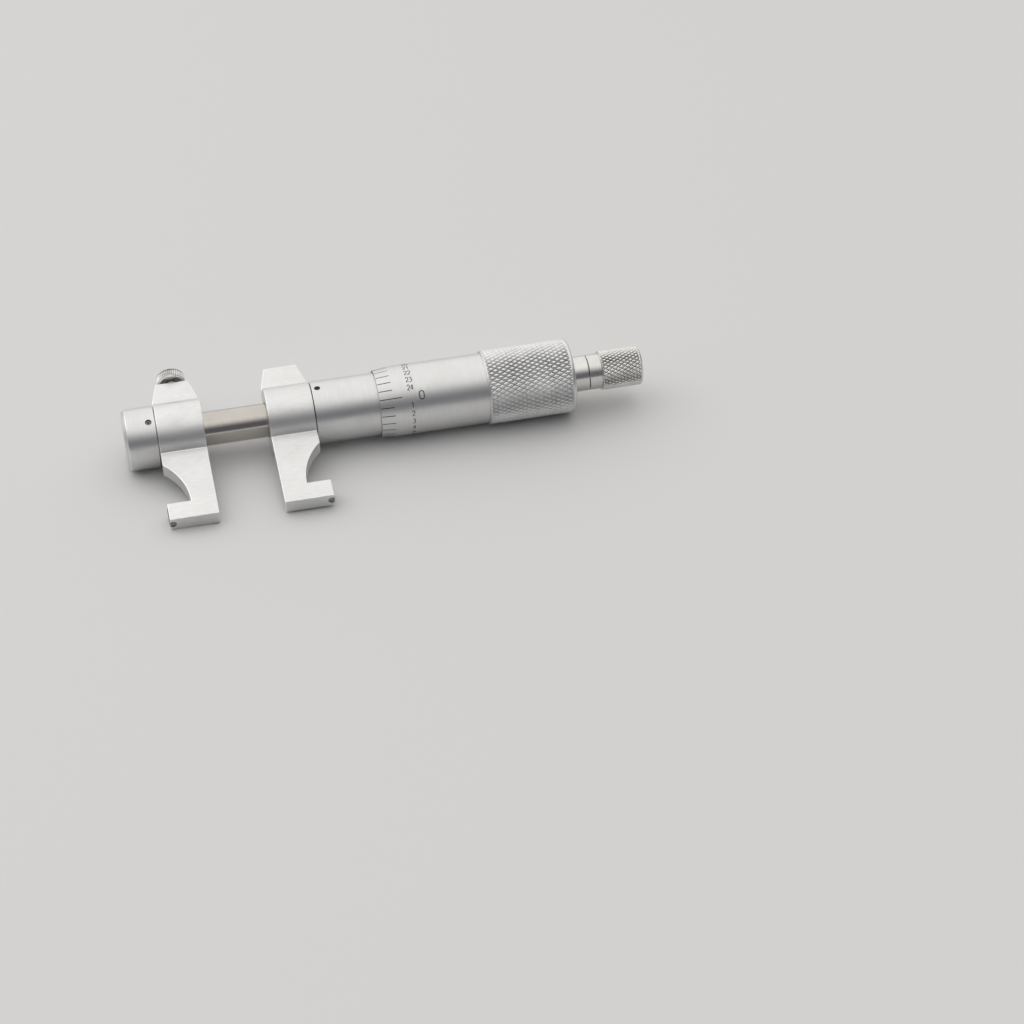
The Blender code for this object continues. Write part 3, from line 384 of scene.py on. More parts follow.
def jaw_blank(face, outward):
    """A jaw before its holes: the section and the plan, each sawn out, where they overlap."""
    lift = PLATE_HALF + HUB_FILLET
    reach = sqrt((HUB_RADIUS + HUB_FILLET) ** 2 - lift ** 2)
    meet = atan2(lift, reach)
    section = [(arm + CUT, -PLATE_HALF), (arm + CUT, PLATE_HALF)]
    section += arc((reach, lift), HUB_FILLET, -pi / 2, meet - pi, FILLET_STEPS)
    section += arc((0, 0), HUB_RADIUS, meet, pi - meet, HUB_STEPS)[1:-1]
    section += arc((-reach, lift), HUB_FILLET, -meet, -pi / 2, FILLET_STEPS)
    section += [(-ear - CUT, PLATE_HALF), (-ear - CUT, -PLATE_HALF)]
    section += arc((-reach, -lift), HUB_FILLET, pi / 2, meet, FILLET_STEPS)
    section += arc((0, 0), HUB_RADIUS, meet - pi, -meet, HUB_STEPS)[1:-1]
    section += arc((reach, -lift), HUB_FILLET, pi - meet, pi / 2, FILLET_STEPS)
    start = face - outward * CUT
    length = outward * (jaw_width + FOOT_PROUD + 2 * CUT)
    sides = sawn([(start, -u, z) for u, z in section], (length, 0, 0))
    drop = foot_top - SCALLOP_START
    radius = (drop ** 2 + SCALLOP_DEPTH ** 2) / (2 * SCALLOP_DEPTH)
    centre = (jaw_width - SCALLOP_DEPTH + radius, foot_top)
    scallop = arc(centre, radius, pi + asin(drop / radius), pi, SCALLOP_STEPS)
    inset = (jaw_width - EAR_TIP_WIDTH) / 2
    plan = [(0, -EAR_TAPER_START), (inset, -ear), (jaw_width - inset, -ear),
            (jaw_width, -EAR_TAPER_START), *scallop, (jaw_width + FOOT_PROUD, foot_top),
            (jaw_width + FOOT_PROUD, arm), (0, arm)]
    depth = HUB_RADIUS + CUT
    plan = sawn([(face + outward * x, -u, -depth) for x, u in plan], (0, 0, 2 * depth))
    return eased(machined(sides, plan, 'INTERSECT'), JAW_EASE, JAW_SHARP)


def with_tip_seat(bm, tip):
    """A jaw with the half-open groove that holds its hard pin, down the end of the foot."""
    low, high = extent(tip)
    middle = (low.x + high.x) / 2
    radius = (high.x - low.x + FIT) / 2
    seat = pin((middle, high.y + FIT, 0), (middle, low.y - FIT, 0), radius, TIP_STEPS)
    return machined(bm, seat)


fixed_low, fixed_high = extent("fixed_jaw")
jaw_width = fixed_high.x - fixed_low.x - FOOT_PROUD
arm = -fixed_low.y
ear = fixed_high.y
foot_top = arm - FOOT_HEIGHT
tube_room = extent("inner_tube")[1].z + FIT
rod_room = rod_radius + FIT

satin_jaw = tooled_metal("satin_chrome_milled", colour=(0.76, 0.76, 0.755), roughness=0.40,
                         marks=(0.0018, 0.0003, 0.00025), contrast=0.13, relief=0.000006)
fixed_jaw = jaw_blank(fixed_low.x, 1)
hub_end = fixed_low.x + jaw_width
rod_bore = pin((fixed_low.x - CUT, 0, 0), (hub_end - CUT, 0, 0), rod_room, BORE_STEPS)
tube_bore = pin((fixed_low.x + SEAT_WALL, 0, 0), (hub_end + CUT, 0, 0), tube_room, BORE_STEPS)
fixed_jaw = machined(machined(fixed_jaw, rod_bore), tube_bore)
fixed_jaw = with_tip_seat(fixed_jaw, "fixed_jaw_tip")
fitted(fixed_jaw, "fixed_jaw_milled", satin_jaw, "frame_body", "satin_chrome", "fixed_jaw")

moving_back = moving_high.x - jaw_width
boss_radius = rod_room + BOSS_WALL
moving_jaw = jaw_blank(moving_high.x, -1)
boss = pin((moving_low.x, 0, 0), (moving_back + SEAT_WALL, 0, 0), boss_radius, BORE_STEPS)
moving_jaw = machined(moving_jaw, boss, 'UNION')
rod_bore = pin((moving_low.x - CUT, 0, 0), (moving_high.x + CUT, 0, 0), rod_room, BORE_STEPS)
moving_jaw = machined(moving_jaw, rod_bore)
ear_hole = pin((clamp_station, rod_radius / 2, 0), (clamp_station, ear + CUT, 0), CLAMP_HOLE,
               CLAMP_HOLE_STEPS)
moving_jaw = with_tip_seat(machined(moving_jaw, ear_hole), "moving_jaw_tip")
fitted(moving_jaw, "moving_jaw_milled", satin_jaw, "carriage", "satin_chrome", "moving_jaw")

# The measuring faces: a lapped carbide pin brazed into the groove of each foot, whose round side
# stands a hair proud, so that the instrument touches a bore on two lines.

TIP_EASE = 0.0001

carbide = tooled_metal("lapped_carbide", colour=(0.30, 0.30, 0.31), roughness=0.20,
                       marks=(0.0004, 0.00006, 0.0004), contrast=0.25, relief=0.0000005)
for jaw, body in (("fixed_jaw", "frame_body"), ("moving_jaw", "carriage")):
    tip_low, tip_high = extent(jaw + "_tip")
    tip_middle = (tip_low + tip_high) / 2
    tip_radius = (tip_high.x - tip_low.x) / 2
    tip = pin((tip_middle.x, tip_high.y, 0), (tip_middle.x, tip_low.y, 0), tip_radius, TIP_STEPS)
    fitted(eased(tip, TIP_EASE), jaw + "_pin", carbide, body, "carbide", jaw + "_tip")

# The clamp screw behind the moving jaw: a thin steel screw with a small round head, knurled
# straight for two fingertips. It presses a brass plug on the spindle and locks the reading.

CLAMP_TEETH = 42
CLAMP_TOOTH_DEPTH = 0.00022
CLAMP_STANDOFF = 0.00075
CLAMP_CHAMFER_LENGTH = 0.0006
CLAMP_CHAMFER_DROP = 0.0004
CLAMP_BACK_ROUND = 0.0002
CLAMP_RIM = 0.00001
PLUG_EASE = 0.00015
PLUG_STEPS = 48

turned_steel = tooled_metal("turned_steel", colour=(0.74, 0.735, 0.71), roughness=0.22,
                            marks=(0.00014, 0.004, 0.004), contrast=0.22, relief=0.000006)
turned_across = tooled_metal("turned_steel_across", colour=(0.74, 0.735, 0.72), roughness=0.30,
                             marks=(0.003, 0.00012, 0.003), contrast=0.22, relief=0.000004)
brass = tooled_metal("brass", colour=(0.76, 0.60, 0.30), roughness=0.32,
                     marks=(0.00012, 0.003, 0.003), contrast=0.15, relief=0.000002)

head_radius = clamp_high.z
shank_radius = CLAMP_HOLE - FIT
head_low = ear + CLAMP_STANDOFF - clamp_low.y
head_end = clamp_high.y - clamp_low.y
outline = [(head_end, 0)]
outline += arc((head_end - CLAMP_BACK_ROUND, head_radius - CLAMP_BACK_ROUND), CLAMP_BACK_ROUND,
               0, pi / 2, FILLET_STEPS)
outline += [(head_low + CLAMP_CHAMFER_LENGTH, head_radius),
            (head_low, head_radius - CLAMP_CHAMFER_DROP), (head_low, shank_radius + FIT),
            (head_low - FIT, shank_radius), (FIT, shank_radius), (0, shank_radius - FIT), (0, 0)]
thumb = lathe(outline, 2 * CLAMP_TEETH)
# The roots between the teeth are marked for painted shade, darker and duller.
groove = thumb.verts.layers.float.new("groove")
for vert in thumb.verts:
    column = round(atan2(vert.co.z, vert.co.y) * CLAMP_TEETH / pi)
    if hypot(vert.co.y, vert.co.z) > head_radius - CLAMP_RIM and column % 2:
        share = 1 - CLAMP_TOOTH_DEPTH / head_radius
        vert.co.y *= share
        vert.co.z *= share
        vert[groove] = 1.0
bmesh.ops.rotate(thumb, verts=thumb.verts, cent=(0, 0, 0), matrix=Matrix.Rotation(pi / 2, 3, 'Z'))
bmesh.ops.translate(thumb, verts=thumb.verts, vec=(clamp_station, clamp_low.y, 0))
fitted(thumb, "clamp_thumb_screw", turned_across, "clamp_group", "turned_steel", "clamp_screw")

plug_low, plug_high = extent("clamp_plug")
plug = pin((clamp_station, plug_low.y, 0), (clamp_station, plug_high.y, 0), plug_high.z, PLUG_STEPS)
fitted(eased(plug, PLUG_EASE), "clamp_plug_turned", brass, "clamp_slider", "brass", "clamp_plug")

# The end cap, turned from bar and plated like the jaws. It screws on the boss behind the moving
# jaw, over the spindle's thrust bearing, and a small socket screw near the seam locks it.

CAP_CHAMFER = 0.0008
CAP_WALL = 0.0013
SMALL_EASE = 0.0001
CAP_SCREW_STATION = 0.0015
CAP_SCREW_ANGLE = radians(15)
CAP_SCREW_HOLE = 0.00075
CAP_SCREW_EASE = 0.00008
CAP_SCREW_STEPS = 40
SMALL_HOLE_STEPS = 60
SHELL_STEPS = 180
SOCKET_SIDES = 6

satin_round = tooled_metal("satin_chrome_turned", colour=(0.72, 0.72, 0.715), roughness=0.36,
                           marks=(0.00016, 0.005, 0.005), contrast=0.12, relief=0.000004)
dark_steel = tooled_metal("dark_steel", colour=(0.27, 0.27, 0.28), roughness=0.38,
                          marks=(0.0003, 0.0012, 0.0012), contrast=0.25, relief=0.000003)

cap_low, cap_high = extent("end_cap")
cap_radius = cap_high.y
boss_end = moving_low.x
cap = lathe([(cap_low.x + CAP_WALL, 0), (cap_low.x + CAP_WALL, boss_radius - FIT),
             (boss_end - FIT, boss_radius - FIT), (boss_end - FIT, boss_radius + FIT),
             (cap_high.x, boss_radius + FIT), (cap_high.x, cap_radius),
             (cap_low.x + CAP_CHAMFER, cap_radius), (cap_low.x, cap_radius - CAP_CHAMFER),
             (cap_low.x, 0)], SHELL_STEPS)
cap = eased(cap, SMALL_EASE)
screw_out = Vector((0, -sin(CAP_SCREW_ANGLE), cos(CAP_SCREW_ANGLE)))
screw_foot = Vector((cap_high.x - CAP_SCREW_STATION, 0, 0))
cap_hole = pin(screw_foot + screw_out * boss_radius, screw_foot + screw_out * (cap_radius + CUT),
               CAP_SCREW_HOLE, SMALL_HOLE_STEPS)
fitted(machined(cap, cap_hole), "end_cap_turned", satin_round, "carriage", "satin_chrome", "end_cap")

screw_radius = CAP_SCREW_HOLE - FIT / 2
screw_top = cap_radius - FIT
set_screw = pin(screw_foot + screw_out * (boss_radius + FIT / 2), screw_foot + screw_out * screw_top,
                screw_radius, CAP_SCREW_STEPS)
socket = pin(screw_foot + screw_out * (screw_top - screw_radius),
             screw_foot + screw_out * (screw_top + CUT), screw_radius / 2, SOCKET_SIDES)
set_screw = machined(eased(set_screw, CAP_SCREW_EASE), socket)
fitted(set_screw, "cap_socket_screw", dark_steel, "carriage", "dark_steel", "cap_set_screw")

# The graduated sleeve, a thin tube fixed to the fixed jaw's hub, in satin chrome with fine turning
# rings. A small hole near the jaw gives a hold on the sleeve, to turn it and set its zero.

SLEEVE_WALL = 0.0012
SETTING_HOLE = 0.00072
SETTING_HOLE_STATION = 0.0014
SETTING_HOLE_ANGLE = radians(-6)

sleeve_low, sleeve_high = extent("graduated_sleeve")
sleeve_radius = sleeve_high.z
sleeve_bore = sleeve_radius - SLEEVE_WALL
sleeve = lathe([(sleeve_high.x, sleeve_bore), (sleeve_high.x, sleeve_radius),
                (sleeve_low.x, sleeve_radius), (sleeve_low.x, sleeve_bore)], SHELL_STEPS)
sleeve = eased(sleeve, SMALL_EASE)
hole_out = Vector((0, -sin(SETTING_HOLE_ANGLE), cos(SETTING_HOLE_ANGLE)))
hole_foot = Vector((sleeve_low.x + SETTING_HOLE_STATION, 0, 0))
setting_hole = pin(hole_foot + hole_out * sleeve_bore / 2,
                   hole_foot + hole_out * (sleeve_radius + CUT), SETTING_HOLE, SMALL_HOLE_STEPS)
fitted(machined(sleeve, setting_hole), "sleeve_turned", satin_round, "frame_body", "satin_chrome",
       "graduated_sleeve")

# The inch scale on the sleeve's underside, engraved and filled with black paint: a reading line
# with a mark every 0.025 inch from 1 to 2 inch, numbered at each tenth, rising to the left.

SCALE_TOP = pi
SCALE_STEP = 0.000635
SCALE_STEPS = 40
STEPS_A_TENTH = 4
REST_READING = 0.5098
INCH = 0.0254
MARK_PROUD = 0.000008
STROKE_STEP = 0.0001
FINE_LINE = 0.00014
TENTH_MARK = 0.0017
STEP_MARK = 0.0010
FIGURE_RISE = 0.0026
SCALE_FIGURE = 0.0011
FIGURE_WIDTH = 0.5
FIGURE_PITCH = 0.64
PAINT_BLACK = (0.012, 0.012, 0.013)
PAINT_WORN = (0.06, 0.06, 0.06)
PAINT_PATCHES = 4000.0
PAINT_WEAR = (0.35, 0.75)
PAINT_ROUGHNESS = 0.6
PAINT_SHINE = 0.3


def oval(centre, radii, first=0.0, last=2 * pi, steps=20):
    """Points of an upright oval, or of a part of one."""
    turns = [first + (last - first) * i / steps for i in range(steps + 1)]
    return [(centre[0] + radii[0] * cos(turn), centre[1] + radii[1] * sin(turn)) for turn in turns]


def figure_strokes(figure):
    """Pen strokes of a plain engraver's figure, 1 wide and 1 high, from its lower left corner."""
    strokes = {
        "0": [oval((0.5, 0.7), (0.5, 0.3), 0, pi) + oval((0.5, 0.3), (0.5, 0.3), pi, 2 * pi)
              + [(1.0, 0.7)]],
        "1": [[(0.2, 0.78), (0.6, 1.0), (0.6, 0.0)]],
        "2": [oval((0.5, 0.71), (0.47, 0.29), 0.95 * pi, -0.2 * pi) + [(0.0, 0.0), (1.0, 0.0)]],
        "3": [oval((0.47, 0.76), (0.43, 0.24), 0.8 * pi, -0.5 * pi)
              + oval((0.47, 0.26), (0.5, 0.26), 0.5 * pi, -0.8 * pi)],
        "4": [[(0.73, 0.0), (0.73, 1.0), (0.0, 0.28), (1.0, 0.28)]],
        "5": [[(0.9, 1.0), (0.17, 1.0), (0.08, 0.54)]
              + oval((0.45, 0.32), (0.52, 0.32), 0.75 * pi, -0.8 * pi)],
        "6": [oval((0.97, 0.3), (0.97, 0.72), 0.6 * pi, pi)
              + oval((0.5, 0.3), (0.5, 0.3), pi, 3 * pi)],
        "7": [[(0.0, 1.0), (1.0, 1.0), (0.33, 0.0)]],
        "8": [oval((0.5, 0.77), (0.4, 0.23)), oval((0.5, 0.27), (0.5, 0.27))],
    }
    strokes["9"] = [[(1.0 - u, 1.0 - v) for u, v in line] for line in strokes["6"]]
    return strokes[figure]


def figures(text, middle, rise, height, width=FIGURE_WIDTH):
    """Strokes of a number whose middle is at the given station and rise."""
    lines = []
    left = middle - (width + FIGURE_PITCH * (len(text) - 1)) * height / 2
    for figure in text:
        for stroke in figure_strokes(figure):
            lines.append([(left + u * width * height, rise + (v - 0.5) * height) for u, v in stroke])
        left += FIGURE_PITCH * height
    return lines


def stepped(line):
    """A stroke with more points where it runs round the instrument, to lie on the round surface."""
    points = [line[0]]
    for (u, v), (next_u, next_v) in zip(line, line[1:]):
        steps = max(1, round(abs(next_v - v) / STROKE_STEP))
        points += [(u + (next_u - u) * i / steps, v + (next_v - v) * i / steps)
                   for i in range(1, steps + 1)]
    return points


def engraved(lines, width):
    """Strokes of one width as a flat bmesh: drawn as curves, made a mesh and pressed flat."""
    curve = bpy.data.curves.new("strokes", 'CURVE')
    curve.dimensions = '3D'
    curve.bevel_depth = width / 2
    curve.bevel_resolution = 1
    curve.use_fill_caps = True
    for line in lines:
        points = stepped(line)
        spline = curve.splines.new('POLY')
        spline.points.add(len(points) - 1)
        for point, (u, v) in zip(spline.points, points):
            point.co = (u, v, 0, 1)
    drawn = bpy.data.objects.new("strokes", curve)
    bpy.context.scene.collection.objects.link(drawn)
    mesh = bpy.data.meshes.new_from_object(drawn.evaluated_get(bpy.context.evaluated_depsgraph_get()))
    bpy.data.objects.remove(drawn)
    bm = bmesh.new()
    bm.from_mesh(mesh)
    bpy.data.meshes.remove(mesh)
    bmesh.ops.remove_doubles(bm, verts=bm.verts, dist=width / 100)
    bmesh.ops.scale(bm, vec=(1, 1, 2 * MARK_PROUD / width), verts=bm.verts)
    bmesh.ops.recalc_face_normals(bm, faces=bm.faces)
    return bm


def wrapped(bm, angle, radius_at):
    """Wrap a flat drawing round the instrument. Angles run from the top towards the jaws' feet."""
    barrel = radius_at(inf)
    for vert in bm.verts:
        turn = angle - vert.co.y / barrel
        radius = radius_at(vert.co.x) + vert.co.z
        vert.co.y = -radius * sin(turn)
        vert.co.z = radius * cos(turn)
    return bm


def black_paint():
    """Matt black paint rubbed into engraved lines, a little worn in places."""
    material = bpy.data.materials.new("black_paint")
    material.use_nodes = True
    nodes = material.node_tree.nodes
    links = material.node_tree.links
    shader = nodes["Principled BSDF"]
    shader.inputs["Roughness"].default_value = PAINT_ROUGHNESS
    shader.inputs["Specular IOR Level"].default_value = PAINT_SHINE
    place = nodes.new("ShaderNodeTexCoord")
    wear = nodes.new("ShaderNodeTexNoise")
    wear.inputs["Scale"].default_value = PAINT_PATCHES
    wear.inputs["Detail"].default_value = 2.0
    links.new(place.outputs["Object"], wear.inputs["Vector"])
    shade = nodes.new("ShaderNodeValToRGB")
    shade.color_ramp.elements[0].position = PAINT_WEAR[0]
    shade.color_ramp.elements[0].color = (*PAINT_BLACK, 1.0)
    shade.color_ramp.elements[1].position = PAINT_WEAR[1]
    shade.color_ramp.elements[1].color = (*PAINT_WORN, 1.0)
    links.new(wear.outputs["Fac"], shade.inputs["Fac"])
    links.new(shade.outputs["Color"], shader.inputs["Base Color"])
    return material


mark_paint = black_paint()
inch_lines = [[(sleeve_low.x + STEP_MARK, 0), (INCH * REST_READING + FINE_LINE, 0)]]
for step in range(SCALE_STEPS + 1):
    station = INCH * REST_READING - step * SCALE_STEP
    if step % STEPS_A_TENTH == 0:
        inch_lines.append([(station, 0), (station, TENTH_MARK)])
        if station - sleeve_low.x > FIGURE_RISE:
            tenth = str(step // STEPS_A_TENTH % 10)
            inch_lines += figures(tenth, station, FIGURE_RISE, SCALE_FIGURE)
    else:
        inch_lines.append([(station, 0), (station, STEP_MARK)])
inch_scale = wrapped(engraved(inch_lines, FINE_LINE), SCALE_TOP, lambda x: sleeve_radius)
fitted(inch_scale, "sleeve_inch_scale", mark_paint, "frame_body", "dark_steel")

# What works inside: the tube with the split nut, its adjusting nut and key, the thrust washers,
# and the spindle. They keep their solids and get the finish of the machining each one had.

inner_finish = {"inner_tube": dark_steel, "adjusting_nut": dark_steel, "spindle_nut": dark_steel,
                "guide_key": brass, "outer_thrust_washer": brass, "inner_thrust_washer": brass,
                "spindle": ground_steel, "ratchet_ring": dark_steel, "ratchet_spring": dark_steel}
for node, metal in inner_finish.items():
    for slot in frame["nodes"][node].material_slots:
        slot.material = metal

# The thimble, one piece turned from bar: a thin bevelled edge over the sleeve, a plain barrel and
# a knurled band with chamfered ends. Its end wall grips the spindle's taper.

THIMBLE_BORE = 0.0078
THIMBLE_RADIUS = 0.00845
EDGE_RADIUS = 0.00802
BEVEL_LENGTH = 0.0042
READING_EASE = 0.00004
BAND_START = 0.0261
BAND_RING = 0.0003
BAND_EASE = 0.00015
BAND_ROUND = 0.0007
BAND_DIAMONDS = 47
BAND_DIAMOND_LENGTH = 0.00196
BAND_KNURL_DEPTH = 0.00025
END_WALL = 0.0040
TAPER_WIDE = 0.0034
TAPER_NARROW = 0.0029
RING_STEPS = 6
KNURL_GRID = 6
KNURL_PROFILE = (1.0, 0.45, 0.12, 0.0)
GROOVE_SHADE_FALL = 1.5
TIP_POLISH_AND_HIGHLIGHT_FALL = 0.5
ON_RIM = 0.999


def knurl(bm, start, end, rows, diamonds, radius, depth):
    """Press a diamond knurl in a turned band, with KNURL_GRID rows and columns to each diamond.

    Each face is cut along the diagonal that lies level, or in a groove where both do. Shade is
    painted in the grooves, and the tips of the diamonds are smoother and painted with a highlight.
    """
    groove = bm.verts.layers.float.new("groove")
    edge_polish_and_highlight = bm.verts.layers.float.new("edge_polish_and_highlight")
    pressed = {}
    for vert in bm.verts:
        row = round((vert.co.x - start) * rows / (end - start))
        if hypot(vert.co.y, vert.co.z) > radius * ON_RIM and 0 < row < rows:
            share_of_turn = atan2(vert.co.z, vert.co.y) / (2 * pi) - 0.25
            column = round(share_of_turn * KNURL_GRID * diamonds)
            ways = (row + column, row - column)
            nearest = min(min(way % KNURL_GRID, -way % KNURL_GRID) for way in ways)
            pressed[vert] = KNURL_PROFILE[nearest]
    for face in [face for face in bm.faces if pressed.keys() & set(face.verts)]:
        first, second, third, fourth = face.verts
        ways = []
        for ends in ((first, third), (second, fourth)):
            one, other = [pressed.get(vert, 0.0) for vert in ends]
            ways.append((abs(one - other), -one - other, ends))
        ends = min(ways, key=lambda way: way[:2])[2]
        bmesh.utils.face_split(face, *ends)
    for vert, share in pressed.items():
        inward = 1 - share * depth / radius
        vert.co.y *= inward
        vert.co.z *= inward
        # Painted shade in the grooves; polish and a painted highlight on the tips.
        vert[groove] = share ** GROOVE_SHADE_FALL
        vert[edge_polish_and_highlight] = 1 - share ** TIP_POLISH_AND_HIGHLIGHT_FALL
    return bm


thimble_high = extent("thimble")[1]
thimble_end = thimble_high.x
band_radius = thimble_high.z
knurl_start = BAND_START + BAND_RING
knurl_end = thimble_end - BAND_ROUND
band_rows = KNURL_GRID * round((knurl_end - knurl_start) / BAND_DIAMOND_LENGTH)
rows = [(knurl_end + (knurl_start - knurl_end) * i / band_rows, band_radius)
        for i in range(band_rows + 1)]
rounded_end = arc((knurl_end, band_radius - BAND_ROUND), BAND_ROUND, 0, pi / 2, FILLET_STEPS)
ring_middle = (BAND_START + BAND_EASE, band_radius - BAND_EASE)
ring_round = arc(ring_middle, BAND_EASE, pi / 2, pi, RING_STEPS)
thimble = lathe([(thimble_end, TAPER_NARROW), *rounded_end[:-1], *rows, *ring_round,
                 (BAND_START, THIMBLE_RADIUS), (BEVEL_LENGTH, THIMBLE_RADIUS),
                 (READING_EASE, EDGE_RADIUS), (0, EDGE_RADIUS - READING_EASE), (0, THIMBLE_BORE),
                 (thimble_end - END_WALL, THIMBLE_BORE), (thimble_end - END_WALL, TAPER_WIDE)],
                KNURL_GRID * BAND_DIAMONDS)
thimble = knurl(thimble, knurl_start, knurl_end, band_rows, BAND_DIAMONDS, band_radius,
                BAND_KNURL_DEPTH)
fitted(thimble, "thimble_knurled", satin_round, "screw_group", "satin_chrome", "thimble")

# The thimble's scale of 25 thousandths, engraved and filled with black paint: a line for each
# division on the bevel, the zero line twice as long, small numbers behind and a large 0.

DIVISIONS = 25
ZERO_ANGLE = radians(39.2)
LINE_START = 0.00012
LINE_END = 0.0033
ZERO_LINE_END = 0.00537
DIVISION_LINE = 0.00021
NUMBER_MIDDLE = 0.00765
NUMBER_HEIGHT = 0.0013
NUMBER_LINE = 0.00018
ZERO_MIDDLE = 0.01009
ZERO_DROP = 0.00006
ZERO_HEIGHT = 0.0020
ZERO_WIDTH = 0.56
ZERO_LINE = 0.00024


def thimble_surface(station):
    """Radius of the thimble's bevel and barrel at a distance from the reading edge."""
    return EDGE_RADIUS + (THIMBLE_RADIUS - EDGE_RADIUS) * min(station / BEVEL_LENGTH, 1.0)


marks = bmesh.new()
for division in range(DIVISIONS):
    angle = ZERO_ANGLE + division * 2 * pi / DIVISIONS
    if division:
        line = [(LINE_START, 0), (LINE_END, 0)]
        number = engraved(figures(str(division), NUMBER_MIDDLE, 0, NUMBER_HEIGHT), NUMBER_LINE)
    else:
        line = [(LINE_START, 0), (BEVEL_LENGTH, 0), (ZERO_LINE_END, 0)]
        number = engraved(figures("0", ZERO_MIDDLE, -ZERO_DROP, ZERO_HEIGHT, ZERO_WIDTH), ZERO_LINE)
    for group in (engraved([line], DIVISION_LINE), number):
        drawn = bpy.data.meshes.new("marks")
        wrapped(group, angle, thimble_surface).to_mesh(drawn)
        group.free()
        marks.from_mesh(drawn)
        bpy.data.meshes.remove(drawn)
fitted(marks, "thimble_scale", mark_paint, "screw_group", "dark_steel")

# The ratchet's base, bright turned steel. It screws on the spindle's end and holds the thimble on
# its taper. Behind its neck a crown of saw teeth and a stem reach into the knob.

CROWN_RADIUS = 0.0033
CROWN_HEIGHT = 0.0007
STEM_RADIUS = 0.0019
SCREW_HOLE = 0.00105
STUB_ROOM = 0.0023
STUB_DEPTH = 0.0031
SCREW_GRIP = 0.0065
RATCHET_TEETH = 24
TOOTH_HEIGHT = 0.0005
TOOTH_LAND = 0.08
KNOB_SEAM = 0.0002
BASE_STEPS = 144


def saw_notches(notch, inner, outer):
    """A cutter of equal notches round a ring. Each is drawn as (station, share of the pitch)."""
    pitch = 2 * pi / RATCHET_TEETH
    bm = bmesh.new()
    sides = []
    for radius in (inner, outer):
        corners = [(x, radius * cos(share * pitch), radius * sin(share * pitch)) for x, share in notch]
        sides.append(bm.faces.new([bm.verts.new(corner) for corner in corners]))
    bmesh.ops.bridge_loops(bm, edges=[edge for face in sides for edge in face.edges])
    first = bm.verts[:] + bm.edges[:] + bm.faces[:]
    for tooth in range(1, RATCHET_TEETH):
        copy = bmesh.ops.duplicate(bm, geom=first)
        verts = [item for item in copy["geom"] if isinstance(item, bmesh.types.BMVert)]
        turn = Matrix.Rotation(tooth * pitch, 3, 'X')
        bmesh.ops.rotate(bm, verts=verts, cent=(0, 0, 0), matrix=turn)
    bmesh.ops.recalc_face_normals(bm, faces=bm.faces)
    return bm


base_low, base_high = extent("ratchet_base")
knob_low, knob_high = extent("ratchet_knob")
neck_radius = base_high.z
base_face = knob_low.x - KNOB_SEAM
crown_tip = base_face + CROWN_HEIGHT
hole_end = base_high.x - SCREW_GRIP
base = lathe([(hole_end, 0), (hole_end, SCREW_HOLE), (base_high.x, SCREW_HOLE),
              (base_high.x, STEM_RADIUS), (crown_tip, STEM_RADIUS), (crown_tip, CROWN_RADIUS),
              (base_face, CROWN_RADIUS), (base_face, neck_radius), (base_low.x, neck_radius),
              (base_low.x, STUB_ROOM), (base_low.x + STUB_DEPTH, STUB_ROOM),
              (base_low.x + STUB_DEPTH, 0)], BASE_STEPS)
base = eased(base, SMALL_EASE)
above = crown_tip + FIT
notch = [(above, 0), (crown_tip - TOOTH_HEIGHT, 0), (crown_tip, 1 - TOOTH_LAND),
         (above, 1 - TOOTH_LAND)]
base = machined(base, saw_notches(notch, STEM_RADIUS + FIT / 2, CROWN_RADIUS + FIT))
fitted(base, "ratchet_base_turned", turned_steel, "screw_group", "turned_steel", "ratchet_base")

# The ratchet's knob: a plain bright skirt over the teeth and a small knurled grip. It turns the
# spindle by the toothed ring, which slides on two flats inside, and slips at a light push.

SKIRT_LENGTH = 0.0030
SKIRT_WALL = 0.00068
SKIRT_EASE = 0.0001
SCREW_HEAD_LENGTH = 0.0015
KNOB_LIP = 0.00015
KNOB_ROUND = 0.0004
KNOB_DIAMONDS = 31
KNOB_DIAMOND_LENGTH = 0.00157
KNOB_KNURL_DEPTH = 0.00022
KNOB_FLAT = 0.0031
HEAD_ROOM = 0.0029
BEARING = 0.0022

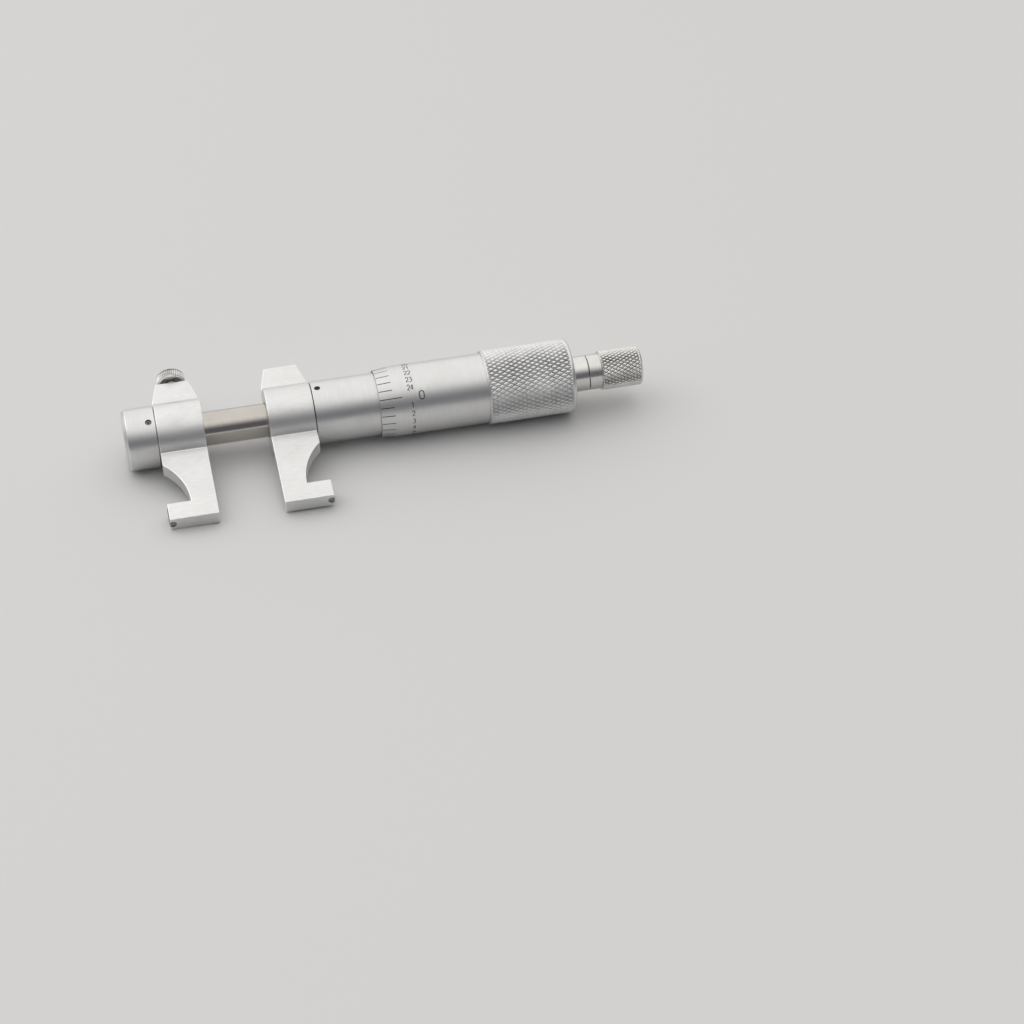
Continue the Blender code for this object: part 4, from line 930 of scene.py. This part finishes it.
knob_radius = knob_high.z
cavity_radius = neck_radius - SKIRT_WALL
cavity_end = base_high.x - SCREW_HEAD_LENGTH
grip_start = knob_low.x + SKIRT_LENGTH
knob_knurl_start = grip_start + KNOB_LIP
knob_knurl_end = knob_high.x - KNOB_ROUND
knob_rows = KNURL_GRID * round((knob_knurl_end - knob_knurl_start) / KNOB_DIAMOND_LENGTH)
knob_steps = KNURL_GRID * KNOB_DIAMONDS
rows = [(knob_knurl_end + (knob_knurl_start - knob_knurl_end) * i / knob_rows, knob_radius)
        for i in range(knob_rows + 1)]
knob = lathe([(knob_high.x, HEAD_ROOM), (knob_high.x, knob_radius - KNOB_ROUND), *rows,
              (grip_start, knob_radius - KNOB_LIP), (grip_start, neck_radius),
              (knob_low.x + SKIRT_EASE, neck_radius), (knob_low.x, neck_radius - SKIRT_EASE),
              (knob_low.x, cavity_radius),
              (crown_tip + FIT, cavity_radius), (crown_tip + FIT, BEARING), (base_high.x, BEARING),
              (base_high.x, HEAD_ROOM)], knob_steps)
knob = knurl(knob, knob_knurl_start, knob_knurl_end, knob_rows, KNOB_DIAMONDS, knob_radius,
             KNOB_KNURL_DEPTH)
cavity = pin((knob_low.x + FIT, 0, 0), (cavity_end, 0, 0), cavity_radius, knob_steps)
flats = block((knob_low.x, -knob_radius, -KNOB_FLAT), (cavity_end + FIT, knob_radius, KNOB_FLAT))
knob = machined(knob, machined(cavity, flats, 'INTERSECT'))
fitted(knob, "ratchet_knob_knurled", turned_steel, "ratchet_group", "satin_chrome", "ratchet_knob")

# The small slotted screw in the end of the stem, turned from blued steel. Its head lies in the end
# of the knob and keeps the knob on its stem.

SLOT_WIDTH = 0.0006
KNOB_SCREW_STEPS = 96

head_low, head_high = extent("ratchet_screw")
head_seat = head_high.x - SCREW_HEAD_LENGTH
thread_radius = SCREW_HOLE - FIT / 2
knob_screw = lathe([(head_high.x, 0), (head_high.x, head_high.y), (head_seat, head_high.y),
                    (head_seat, thread_radius), (head_low.x, thread_radius), (head_low.x, 0)],
                   KNOB_SCREW_STEPS)
driver_slot = block((head_high.x - SLOT_WIDTH, -knob_radius, -SLOT_WIDTH / 2),
                    (head_high.x + FIT, knob_radius, SLOT_WIDTH / 2))
knob_screw = machined(eased(knob_screw, SMALL_EASE), driver_slot)
fitted(knob_screw, "knob_screw", dark_steel, "screw_group", "dark_steel", "ratchet_screw")
